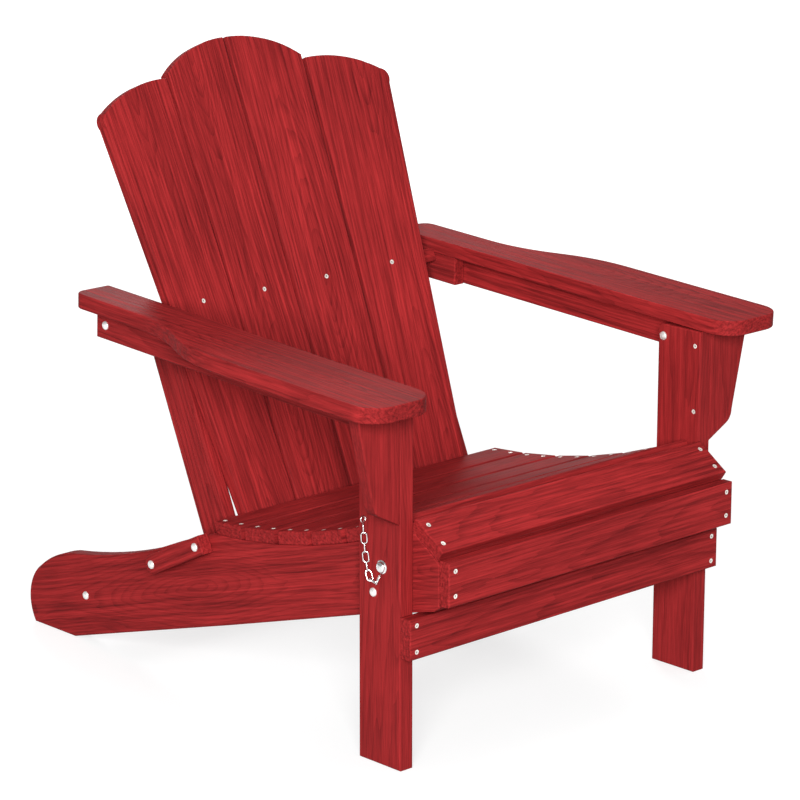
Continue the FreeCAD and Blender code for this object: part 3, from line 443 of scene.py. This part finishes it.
def finish_template(piece: bpy.types.Object, bevel: float, angle: float = 40.0) -> None:
    """Leave edit mode, soften the sharp edges and smooth the rest.

    Args:
        piece: the template.
        bevel: the width of the softened edge.
        angle: edges sharper than this stay sharp.
    """
    bpy.ops.object.mode_set(mode="OBJECT")
    take_up(piece)
    if bevel > 0:
        soft = piece.modifiers.new("softened", "BEVEL")
        soft.width = bevel
        soft.segments = 2
        soft.limit_method = "ANGLE"
        soft.angle_limit = math.radians(angle)
        bpy.ops.object.modifier_apply(modifier=soft.name)
    bpy.ops.object.mode_set(mode="EDIT")
    bpy.ops.mesh.select_all(action="SELECT")
    bpy.ops.mesh.remove_doubles(threshold=1e-6)
    bpy.ops.mesh.normals_make_consistent(inside=False)
    bpy.ops.object.mode_set(mode="OBJECT")
    bpy.ops.object.shade_smooth_by_angle(angle=math.radians(angle))


@dataclass(frozen=True)
class Spot:
    """Where one fastener sits: the middle of its head end, the way its shank runs, and its length."""

    head: Vector
    way: Vector
    length: float


def islands(node: str) -> list[np.ndarray]:
    """Find the separate solids of a node.

    Args:
        node: a CAD node's name.

    Returns:
        The points of each solid.
    """
    shape = bmesh.new()
    shape.from_mesh(frame["nodes"][node].data)
    bmesh.ops.remove_doubles(shape, verts=shape.verts, dist=2e-6)
    shape.verts.ensure_lookup_table()
    seen: set[int] = set()
    found: list[np.ndarray] = []
    for first in shape.verts:
        if first.index in seen:
            continue
        stack = [first]
        seen.add(first.index)
        group = []
        while stack:
            point = stack.pop()
            group.append(tuple(point.co))
            for edge in point.link_edges:
                other = edge.other_vert(point)
                if other.index not in seen:
                    seen.add(other.index)
                    stack.append(other)
        if len(group) > 7:
            found.append(np.array(group))
    shape.free()
    return found


def screw_spots(node: str) -> list[Spot]:
    """Read where the screws of a node sit.

    Args:
        node: a CAD node of screws.

    Returns:
        One spot for each screw.
    """
    spots = []
    for points in islands(node):
        middle = points.mean(0)
        _, _, axes = np.linalg.svd(points - middle, full_matrices=False)
        way = axes[0]
        reach = (points - middle) @ way
        around = np.linalg.norm((points - middle) - np.outer(reach, way), axis=1)
        if around[reach > reach.max() - 0.0015].max() > around[reach < reach.min() + 0.0015].max():
            way, reach = -way, -reach
        wide = points[around > around.max() - 2e-5]
        centre = wide.mean(0)
        centre = centre + way * (reach.min() - (centre - middle) @ way)
        spots.append(Spot(Vector(centre), Vector(way), float(reach.max() - reach.min())))
    return spots


def bolt_spots(node: str, inward: bool) -> list[Spot]:
    """Read where the bolts of a node sit.

    Args:
        node: a CAD node of bolts, which lie along X.
        inward: whether the shank runs towards the chair's middle.

    Returns:
        One spot for each bolt.
    """
    spots = []
    for points in islands(node):
        low, high = points.min(0), points.max(0)
        middle = (low + high) / 2
        way = -math.copysign(1.0, middle[0]) if inward else math.copysign(1.0, middle[0])
        head = Vector((low[0] if way > 0 else high[0], middle[1], middle[2]))
        spots.append(Spot(head, Vector((way, 0.0, 0.0)), float(high[0] - low[0])))
    return spots


def place_of(spot: Spot, turn: float) -> Matrix:
    """The matrix that takes a template, standing at zero with its shank down -Z, to a spot.

    Args:
        spot: the fastener's spot.
        turn: how far its head is turned about its own axis.

    Returns:
        The matrix.
    """
    facing = (-spot.way).to_track_quat("Z", "Y").to_matrix().to_4x4()
    return Matrix.Translation(spot.head) @ facing @ Matrix.Rotation(turn, 4, "Z")


def copies_of(template: bpy.types.Object, places: list[Matrix], name: str) -> bpy.types.Object:
    """Copy a template to each place, and join the copies into one piece.

    Args:
        template: the piece modelled once.
        places: where the copies go.
        name: the joined piece's name.

    Returns:
        The joined piece, at the origin.
    """
    deselect_all()
    made = []
    for place in places:
        item = template.copy()
        item.data = template.data.copy()
        item.data.transform(place)
        bpy.context.scene.collection.objects.link(item)
        made.append(item)
    for item in made:
        item.select_set(True)
    bpy.context.view_layer.objects.active = made[0]
    if len(made) > 1:
        bpy.ops.object.join()
    piece = bpy.context.view_layer.objects.active
    piece.name = name
    bpy.data.objects.remove(template)
    return piece


def dress(piece: bpy.types.Object, material: bpy.types.Material) -> None:
    """Give a piece one material."""
    piece.data.materials.clear()
    piece.data.materials.append(material)


def settle(piece: bpy.types.Object, body: str, node: str) -> None:
    """Say which node a new piece stands for, and what it rides on.

    Args:
        piece: the new piece.
        body: the CAD body it moves with.
        node: the CAD node it stands for.
    """
    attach(piece, body)
    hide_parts(node)
    LOG.info("%s stands for %s: %d faces", piece.name, node, len(piece.data.polygons))


# ---------------------------------------------------------------------------------------------------------
# Fasteners
# ---------------------------------------------------------------------------------------------------------


@dataclass
class FlatScrew:
    """A countersunk screw with a star recess."""

    node: str
    body: str
    head: float = 0.0034
    shank: float = 0.0020
    rim: float = 0.0006
    cone: float = 0.0024
    recess: float = 0.0018
    star: float = 0.0019

    def template(self, length: float) -> bpy.types.Object:
        """Model one screw, its head at zero and its shank down -Z.

        Args:
            length: from the head to the tip.

        Returns:
            The template.
        """
        deselect_all()
        bpy.ops.mesh.primitive_cylinder_add(
            vertices=24, radius=self.head, depth=self.rim, location=(0.0, 0.0, -self.rim / 2))
        piece = bpy.context.active_object
        bpy.ops.object.transform_apply(location=True)
        bpy.ops.object.mode_set(mode="EDIT")
        bpy.ops.mesh.select_mode(type="FACE")
        pick_faces(piece, lambda centre, normal: normal.z < -0.9)
        middle = Vector((0.0, 0.0, 0.0))
        push_out(-self.cone, self.shank / self.head, middle)
        push_out(-(length - self.rim - self.cone - self.shank), 1.0, middle)
        push_out(-self.shank, 0.2, middle)
        pick_faces(piece, lambda centre, normal: normal.z > 0.9)
        bpy.ops.mesh.inset(thickness=self.head - self.star, depth=0.0)
        pick_points(piece, lambda co: co.z > -1e-6 and co.xy.length < self.star * 1.1
                    and round(math.degrees(math.atan2(co.y, co.x)) / 15.0) % 4 in (0, 3))
        bpy.ops.transform.resize(value=(0.72, 0.72, 1.0), center_override=middle)
        bpy.ops.mesh.select_mode(type="FACE")
        pick_faces(piece, lambda centre, normal: normal.z > 0.9 and centre.xy.length < 2e-4)
        push_out(-self.recess, 0.8, middle)
        finish_template(piece, 0.00012, 35.0)
        return piece

    def build(self) -> bpy.types.Object:
        """Set a screw in every hole of the node.

        Returns:
            The finished piece.
        """
        spots = screw_spots(self.node)
        template = self.template(spots[0].length)
        places = [place_of(spot, 0.9 * number) for number, spot in enumerate(spots)]
        piece = copies_of(template, places, self.node + "_steel")
        dress(piece, STEELS["screw"])
        settle(piece, self.body, self.node)
        return piece


@dataclass
class DomeBolt:
    """A bolt with a smooth domed head, and a washer and nut where it has one."""

    node: str
    body: str
    inward: bool = True
    nut: bool = True
    head: float = 0.0063
    dome: float = 0.0036
    rim: float = 0.0006
    dome_steps: int = 6
    shank: float = 0.0040
    tip: float = 0.0008
    nut_seat: float = 0.0085
    nut_reach: float = 0.0072
    nut_height: float = 0.0053
    washer: float = 0.0078
    washer_thick: float = 0.0012

    def template(self, length: float) -> bpy.types.Object:
        """Model one bolt, the top of its head at zero and its shank down -Z.

        Args:
            length: from the top of the head to the shank's end.

        Returns:
            The template.
        """
        deselect_all()
        middle = Vector((0.0, 0.0, 0.0))
        bpy.ops.mesh.primitive_cylinder_add(
            vertices=32, radius=self.head, depth=self.rim, location=(0.0, 0.0, -self.dome + self.rim / 2))
        piece = bpy.context.active_object
        bpy.ops.object.transform_apply(location=True)
        bpy.ops.object.mode_set(mode="EDIT")
        bpy.ops.mesh.select_mode(type="FACE")
        pick_faces(piece, lambda centre, normal: normal.z > 0.9)
        rise = self.dome - self.rim
        steps = self.dome_steps
        for step in range(1, steps):
            angle = math.pi / 2 * step / steps
            before = math.pi / 2 * (step - 1) / steps
            push_out(rise * (math.sin(angle) - math.sin(before)), math.cos(angle) / math.cos(before), middle)
        bpy.ops.mesh.inset(thickness=self.head * 0.10, depth=0.0)
        bpy.ops.transform.translate(value=(0.0, 0.0, rise * (1 - math.sin(math.pi / 2 * (steps - 1) / steps))))
        pick_faces(piece, lambda centre, normal: normal.z < -0.9)
        bpy.ops.mesh.inset(thickness=self.head - self.shank, depth=0.0)
        body_end = length - self.dome
        push_out(-(body_end - self.tip), 1.0, middle)
        push_out(-self.tip, 0.82, middle)
        finish_template(piece, 0.0, 45.0)
        if self.nut:
            self.add_nut(piece, length)
        return piece

    def add_nut(self, piece: bpy.types.Object, length: float) -> None:
        """Model the washer and nut on the bolt's end.

        Args:
            piece: the bolt, which takes them in.
            length: the bolt's length.
        """
        seat = -(length - self.nut_seat)
        deselect_all()
        bpy.ops.mesh.primitive_cylinder_add(
            vertices=32, radius=self.washer, depth=self.washer_thick,
            location=(0.0, 0.0, seat - self.washer_thick / 2))
        washer = bpy.context.active_object
        bpy.ops.object.transform_apply(location=True)
        bpy.ops.object.mode_set(mode="EDIT")
        finish_template(washer, 0.0003, 40.0)
        deselect_all()
        bpy.ops.mesh.primitive_cylinder_add(
            vertices=6, radius=self.nut_reach, depth=self.nut_height,
            location=(0.0, 0.0, seat - self.washer_thick - self.nut_height / 2))
        nut = bpy.context.active_object
        bpy.ops.object.transform_apply(location=True)
        bpy.ops.object.mode_set(mode="EDIT")
        bpy.ops.mesh.select_mode(type="FACE")
        pick_faces(nut, lambda centre, normal: normal.z < -0.9)
        bpy.ops.mesh.inset(thickness=0.0011, depth=0.0)
        bpy.ops.transform.translate(value=(0.0, 0.0, -0.0004))
        finish_template(nut, 0.0002, 20.0)
        take_up(piece)
        washer.select_set(True)
        nut.select_set(True)
        bpy.ops.object.join()

    def build(self) -> bpy.types.Object:
        """Set a bolt at every place of the node.

        Returns:
            The finished piece.
        """
        spots = bolt_spots(self.node, self.inward)
        template = self.template(spots[0].length)
        places = [place_of(spot, 0.4 * number) for number, spot in enumerate(spots)]
        piece = copies_of(template, places, self.node + "_steel")
        dress(piece, STEELS["bolt"])
        settle(piece, self.body, self.node)
        return piece


# ---------------------------------------------------------------------------------------------------------
# Lock pin and chain
# ---------------------------------------------------------------------------------------------------------


@dataclass
class LockPin:
    """The lock pin, with its flange and rounded button."""

    body: str = "lock_pin"
    flange: float = 0.0095
    flange_thick: float = 0.0016
    shank: float = 0.0040
    tip: float = 0.0010
    stands_out: float = 0.0073
    button: tuple[tuple[float, float], ...] = (
        (0.0003, 0.76), (0.0007, 1.04), (0.0016, 1.0), (0.0010, 0.93),
        (0.0008, 0.84), (0.0006, 0.72), (0.0004, 0.55), (0.0002, 0.35),
    )

    def build(self) -> bpy.types.Object:
        """Model the pin in its hole.

        Returns:
            The finished piece.
        """
        low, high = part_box("lock_pin")
        deselect_all()
        middle = Vector((0.0, 0.0, 0.0))
        bpy.ops.mesh.primitive_cylinder_add(
            vertices=40, radius=self.flange, depth=self.flange_thick,
            location=(0.0, 0.0, self.flange_thick / 2))
        piece = bpy.context.active_object
        bpy.ops.object.transform_apply(location=True)
        bpy.ops.object.mode_set(mode="EDIT")
        bpy.ops.mesh.select_mode(type="FACE")
        pick_faces(piece, lambda centre, normal: normal.z > 0.9)
        for distance, share in self.button:
            push_out(distance, share, middle)
        pick_faces(piece, lambda centre, normal: normal.z < -0.9)
        bpy.ops.mesh.inset(thickness=self.flange - self.shank, depth=0.0)
        reach = high.x - low.x - self.stands_out
        push_out(-(reach - self.tip), 1.0, middle)
        push_out(-self.tip, 0.75, middle)
        finish_template(piece, 0.00025, 32.0)
        seat = Vector((low.x + self.stands_out, (low.y + high.y) / 2, (low.z + high.z) / 2))
        spot = Spot(seat, Vector(ACROSS), 0.0)
        piece.data.transform(place_of(spot, 0.0))
        piece.name = "lock_pin_button"
        dress(piece, STEELS["pin"])
        settle(piece, self.body, "lock_pin")
        return piece


@dataclass
class Tether:
    """The chain that keeps the lock pin, and the screw eye it hangs from."""

    body: str = "front_legs"
    wire: float = 0.0008
    bend: float = 0.0039
    eye: float = 0.0042
    eye_centre: float = 0.0050
    eye_shank: float = 0.00145

    def link_template(self, straight: float) -> bpy.types.Object:
        """Model one oval link, its long way along X.

        Args:
            straight: the length of its straight sides.

        Returns:
            The template.
        """
        deselect_all()
        bpy.ops.mesh.primitive_torus_add(
            major_segments=24, minor_segments=10, major_radius=self.bend, minor_radius=self.wire)
        piece = bpy.context.active_object
        bpy.ops.object.mode_set(mode="EDIT")
        for sign in (-1.0, 1.0):
            pick_points(piece, lambda co, sign=sign: co.x * sign > 1e-5)
            bpy.ops.transform.translate(value=(sign * straight / 2, 0.0, 0.0))
        finish_template(piece, 0.0, 60.0)
        return piece

    def build_chain(self) -> bpy.types.Object:
        """Hang the links where the chain runs.

        Returns:
            The finished piece.
        """
        places = []
        longest = 0.0
        for points in islands("tether_chain"):
            middle = (points.max(0) + points.min(0)) / 2
            _, _, axes = np.linalg.svd(points - points.mean(0), full_matrices=False)
            span = (points - points.mean(0)) @ axes[0]
            longest = max(longest, float(span.max() - span.min()))
            along, wide = Vector(axes[0]), Vector(axes[1])
            thin = along.cross(wide)
            turn = Matrix((along, wide, thin)).transposed().to_4x4()
            places.append(Matrix.Translation(Vector(middle)) @ turn)
        template = self.link_template(longest - 2 * (self.bend + self.wire))
        piece = copies_of(template, places, "tether_chain_links")
        dress(piece, STEELS["pin"])
        settle(piece, self.body, "tether_chain")
        return piece

    def build_eye(self) -> bpy.types.Object:
        """Model the screw eye at the chain's top.

        Returns:
            The finished piece.
        """
        low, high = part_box("chain_eye")
        ring_middle = Vector((low.x + self.eye_centre, (low.y + high.y) / 2, (low.z + high.z) / 2))
        deselect_all()
        bpy.ops.mesh.primitive_torus_add(
            major_segments=32, minor_segments=12, major_radius=self.eye, minor_radius=self.wire,
            rotation=(math.pi / 2, 0.0, 0.0))
        ring = bpy.context.active_object
        bpy.ops.object.transform_apply(rotation=True)
        bpy.ops.object.mode_set(mode="EDIT")
        finish_template(ring, 0.0, 60.0)
        deselect_all()
        length = high.x - ring_middle.x - 0.0040
        bpy.ops.mesh.primitive_cylinder_add(vertices=16, radius=self.eye_shank, depth=length - 0.003,
                                            location=(0.0040 + (length - 0.003) / 2, 0.0, 0.0),
                                            rotation=(0.0, math.pi / 2, 0.0))
        shank = bpy.context.active_object
        bpy.ops.object.transform_apply(location=True, rotation=True)
        bpy.ops.object.mode_set(mode="EDIT")
        bpy.ops.mesh.select_mode(type="FACE")
        pick_faces(shank, lambda centre, normal: normal.x > 0.9)
        bpy.ops.mesh.extrude_region_move(TRANSFORM_OT_translate={"value": (0.003, 0.0, 0.0)})
        bpy.ops.transform.resize(value=(1.0, 0.25, 0.25), center_override=Vector((length + 0.0040, 0.0, 0.0)))
        finish_template(shank, 0.0, 40.0)
        take_up(ring)
        shank.select_set(True)
        bpy.ops.object.join()
        ring.data.transform(Matrix.Translation(ring_middle))
        ring.name = "chain_eye_ring"
        dress(ring, STEELS["pin"])
        settle(ring, self.body, "chain_eye")
        return ring


# ---------------------------------------------------------------------------------------------------------
# Boards, gathered by the part of the chair that they make
# ---------------------------------------------------------------------------------------------------------


@dataclass(frozen=True)
class Board:
    """One board and the way its grain runs."""

    node: str
    along: Point
    face: Point
    cut: Cut = Cut.ARCHED

    def dress(self, seed: float) -> None:
        """Give the board its grained finish.

        Args:
            seed: shifts the pattern.
        """
        low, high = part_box(self.node)
        material = LUMBER.make("grain_" + self.node, self.along, self.face, (low + high) / 2, self.cut, seed)
        dress(frame["nodes"][self.node], material)
        LOG.info("%s: %s grain", self.node, self.cut.value)


def sloping(angle: float) -> tuple[Point, Point]:
    """Directions along and square to a slat's top that tilts forward.

    Args:
        angle: the tilt.

    Returns:
        The rearward direction on its top, and its top's normal.
    """
    return (0.0, math.cos(angle), -math.sin(angle)), (0.0, math.sin(angle), math.cos(angle))


@dataclass
class SeatFrame:
    """The stringers, the seat slats on them, and what closes their front and rear."""

    body: str = "seat_frame"
    tilts: tuple[float, ...] = (4.8, 8.3, 12.0, 15.7, 19.5, 22.5)
    screws: tuple[str, ...] = ("seat_screws", "fascia_screws")
    bolts: tuple[str, ...] = ("leg_pivot_bolts", "link_pivot_bolts")

    def boards(self) -> list[Board]:
        """List the boards of the seat frame."""
        found = [Board(f"{side}_stringer", DOWN_STRINGER, ACROSS) for side in ("left", "right")]
        for number, tilt in enumerate(self.tilts, start=1):
            found.append(Board(f"seat_slat_{number}", ACROSS, sloping(math.radians(-tilt))[1], Cut.STRAIGHT))
        nose_top = (0.0, -math.sin(NOSE_TILT), math.cos(NOSE_TILT))
        found.append(Board("seat_nose_slat", ACROSS, nose_top, Cut.STRAIGHT))
        found.append(Board("front_fascia", ACROSS, REARWARD, Cut.STRAIGHT))
        found.append(Board("rear_stretcher", ACROSS, (0.0, math.sin(GROUND_SLOPE), math.cos(GROUND_SLOPE))))
        return found

    def build(self) -> None:
        """Dress the boards and set their fasteners."""
        for seed, board in enumerate(self.boards(), start=1):
            board.dress(seed * 1.0)
        for node in self.screws:
            FlatScrew(node, self.body).build()
        for node in self.bolts:
            DomeBolt(node, self.body).build()
        DomeBolt("stretcher_bolts", self.body, nut=False).build()


@dataclass
class FrontLegs:
    """The front legs with their crossbar, corbels, chain and eye."""

    body: str = "front_legs"
    screws: tuple[str, ...] = ("crossbar_screws", "corbel_screws")
    tether: Tether = field(default_factory=Tether)

    def boards(self) -> list[Board]:
        """List the boards of the front legs."""
        found = []
        for side in ("left", "right"):
            found.append(Board(f"{side}_front_leg", UPWARD, ACROSS, Cut.FAINT))
            found.append(Board(f"{side}_corbel", UPWARD, REARWARD, Cut.FAINT))
        found.append(Board("leg_crossbar", ACROSS, REARWARD, Cut.STRAIGHT))
        return found

    def build(self) -> None:
        """Dress the boards and set their fasteners."""
        for seed, board in enumerate(self.boards(), start=1):
            board.dress(20.0 + seed * 1.3)
        for node in self.screws:
            FlatScrew(node, self.body).build()
        DomeBolt("arm_pivot_bolts", self.body, inward=False).build()
        self.tether.build_chain()
        self.tether.build_eye()


@dataclass
class ArmRest:
    """One arm: its broad board, the rail under it and the spacer block at its rear."""

    side: str

    def boards(self) -> list[Board]:
        """List the boards of the arm."""
        return [
            Board(f"{self.side}_arm_board", ALONG_ARM, ARM_TOP),
            Board(f"{self.side}_arm_rail", ALONG_ARM, ACROSS, Cut.STRAIGHT),
            Board(f"{self.side}_arm_spacer", ALONG_ARM, ACROSS, Cut.STRAIGHT),
        ]

    def build(self) -> None:
        """Dress the boards and set their fasteners."""
        body = f"{self.side}_arm"
        start = 41.0 if self.side == "left" else 47.0
        for seed, board in enumerate(self.boards()):
            board.dress(start + seed * 1.7)
        FlatScrew(f"{self.side}_arm_screws", body).build()
        DomeBolt(f"{self.side}_arm_rear_bolt", body, nut=False).build()


@dataclass
class BackRest:
    """The fanned slats of the back, with the crossbars and struts behind them."""

    body: str = "back"
    turns: tuple[float, ...] = (5.5, 4.0, -4.0, -5.5)
    flares: tuple[float, ...] = (-0.067, -0.015, 0.015, 0.067)

    def boards(self) -> list[Board]:
        """List the boards of the back."""
        found = []
        up, out = Vector(UP_BACK), Vector(OUT_BACK)
        for number, (turn, flare) in enumerate(zip(self.turns, self.flares), start=1):
            along = (up + Vector(ACROSS) * flare).normalized()
            face = out - Vector(ACROSS) * math.tan(math.radians(turn))
            found.append(Board(f"back_slat_{number}", tuple(along), tuple(face.normalized())))
        found.append(Board("upper_back_crossbar", ACROSS, UP_BACK))
        found.append(Board("lower_back_crossbar", ACROSS, UP_BACK))
        found += [Board(f"{side}_back_strut", UP_BACK, ACROSS, Cut.STRAIGHT) for side in ("left", "right")]
        return found

    def build(self) -> None:
        """Dress the boards and set their screws."""
        for seed, board in enumerate(self.boards(), start=1):
            board.dress(60.0 + seed * 1.9)
        for node in ("back_slat_screws", "back_strut_screws"):
            FlatScrew(node, self.body).build()


@dataclass
class BackLink:
    """One link that swings the foot of the back, with its sleeve and bolt."""

    side: str

    def build(self) -> None:
        """Dress the link and its sleeve, and set its bolt."""
        body = f"{self.side}_link"
        along = (0.0, -math.cos(LINK_SLOPE), math.sin(LINK_SLOPE))
        Board(f"{self.side}_link", along, ACROSS, Cut.STRAIGHT).dress(80.0 if self.side == "left" else 83.0)
        dress(frame["nodes"][f"{self.side}_pivot_sleeve"], NYLON)
        DomeBolt(f"{self.side}_back_pivot_bolt", body, nut=False).build()


# ---------------------------------------------------------------------------------------------------------
# Studio
# ---------------------------------------------------------------------------------------------------------


@dataclass
class Studio:
    """A pale floor, soft light, and the camera."""

    eye: Point = (-3.2831, -3.56605, 1.6966)
    yaw: float = 0.755
    pitch: float = 0.265
    roll: float = -0.002
    lens: float = 156.25
    shift: tuple[float, float] = (-0.0096, 0.0016)

    def lay_floor(self) -> None:
        """Lay a wide pale floor."""
        deselect_all()
        bpy.ops.mesh.primitive_plane_add(size=60.0, location=(0.0, 0.0, -0.0006))
        floor = bpy.context.active_object
        floor.name = "studio_floor"
        material, bench, shader = new_material("pale_floor")
        where = bench.add("ShaderNodeTexCoord")
        grit = bench.add("ShaderNodeTexNoise", Scale=40.0, Detail=2.0)
        bench.join(where.outputs["Object"], grit.inputs["Vector"])
        tone = bench.add("ShaderNodeValToRGB")
        tone.color_ramp.elements[0].color = (0.350, 0.350, 0.350, 1.0)
        tone.color_ramp.elements[1].color = (0.370, 0.370, 0.370, 1.0)
        bench.join(grit.outputs[0], tone.inputs[0])
        bench.join(tone.outputs[0], shader.inputs["Base Color"])
        shader.inputs["Roughness"].default_value = 0.9
        shader.inputs["Specular IOR Level"].default_value = 0.1
        shader.inputs["Emission Color"].default_value = (1.0, 1.0, 1.0, 1.0)
        away = bench.add("ShaderNodeVectorMath", operation="LENGTH")
        bench.join(where.outputs["Object"], away.inputs[0])
        glow = bench.add("ShaderNodeMapRange", From_Min=1.2, From_Max=4.0, To_Min=0.70, To_Max=1.0)
        bench.join(away.outputs["Value"], glow.inputs["Value"])
        bench.join(glow.outputs[0], shader.inputs["Emission Strength"])
        dress(floor, material)
        floor.visible_diffuse = False
        floor.visible_shadow = False

    def hang_lamp(self, name: str, place: Point, aim: Point, size: float, watts: float) -> None:
        """Hang one square soft lamp.

        Args:
            name: the lamp's name.
            place: where it hangs.
            aim: what it points at.
            size: its side.
            watts: its power.
        """
        lamp = bpy.data.lights.new(name, "AREA")
        lamp.shape = "SQUARE"
        lamp.size = size
        lamp.energy = watts
        holder = bpy.data.objects.new(name, lamp)
        bpy.context.scene.collection.objects.link(holder)
        holder.location = place
        holder.rotation_euler = (Vector(aim) - Vector(place)).to_track_quat("-Z", "Y").to_euler()

    def light(self) -> None:
        """Set the soft surrounding light and the lamps."""
        world = bpy.data.worlds.new("studio_air")
        bpy.context.scene.world = world
        world.use_nodes = True
        nodes, links = world.node_tree.nodes, world.node_tree.links
        air = nodes["Background"]
        air.inputs[0].default_value = (1.0, 1.0, 1.0, 1.0)
        where = nodes.new("ShaderNodeTexCoord")
        parts = nodes.new("ShaderNodeSeparateXYZ")
        strength = nodes.new("ShaderNodeMapRange")
        for socket, value in (("From Min", -0.25), ("From Max", 0.25), ("To Min", 0.10), ("To Max", 0.36)):
            strength.inputs[socket].default_value = value
        links.new(where.outputs["Generated"], parts.inputs[0])
        links.new(parts.outputs[2], strength.inputs["Value"])
        links.new(strength.outputs[0], air.inputs[1])
        self.hang_lamp("key", (-4.6, -4.6, 2.5), (0.0, 0.0, 0.4), 2.6, 690.0)
        self.hang_lamp("top", (0.6, -0.6, 4.2), (0.0, 0.0, 0.4), 2.4, 30.0)
        self.hang_lamp("rim", (3.2, 4.6, 3.4), (0.0, 0.0, 0.4), 2.0, 150.0)

    def place_camera(self) -> None:
        """Place the camera and make it the scene's."""
        data = bpy.data.cameras.new("viewer")
        data.sensor_width = 36.0
        data.lens = self.lens
        data.shift_x, data.shift_y = self.shift
        data.clip_end = 200.0
        camera = bpy.data.objects.new("viewer", data)
        bpy.context.scene.collection.objects.link(camera)
        camera.location = self.eye
        camera.rotation_euler = Euler((math.pi / 2 - self.pitch, self.roll, -self.yaw), "XYZ")
        bpy.context.scene.camera = camera

    def build(self) -> None:
        """Set up the whole studio."""
        self.place_camera()
        self.lay_floor()
        self.light()
        bpy.context.scene.view_settings.view_transform = "Standard"


STEELS: dict[str, bpy.types.Material] = {
    "screw": SCREW_STEEL.make(),
    "bolt": BOLT_STEEL.make(),
    "pin": PIN_STEEL.make(),
}
NYLON = NylonFinish().make()


def main() -> None:
    """Build the chair's looks in order."""
    logging.basicConfig(level=logging.INFO, format="%(message)s")
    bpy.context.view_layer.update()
    Studio().build()
    SeatFrame().build()
    FrontLegs().build()
    LockPin().build()
    for side in ("left", "right"):
        ArmRest(side).build()
        BackLink(side).build()
    BackRest().build()


if __name__ == "__main__":
    main()
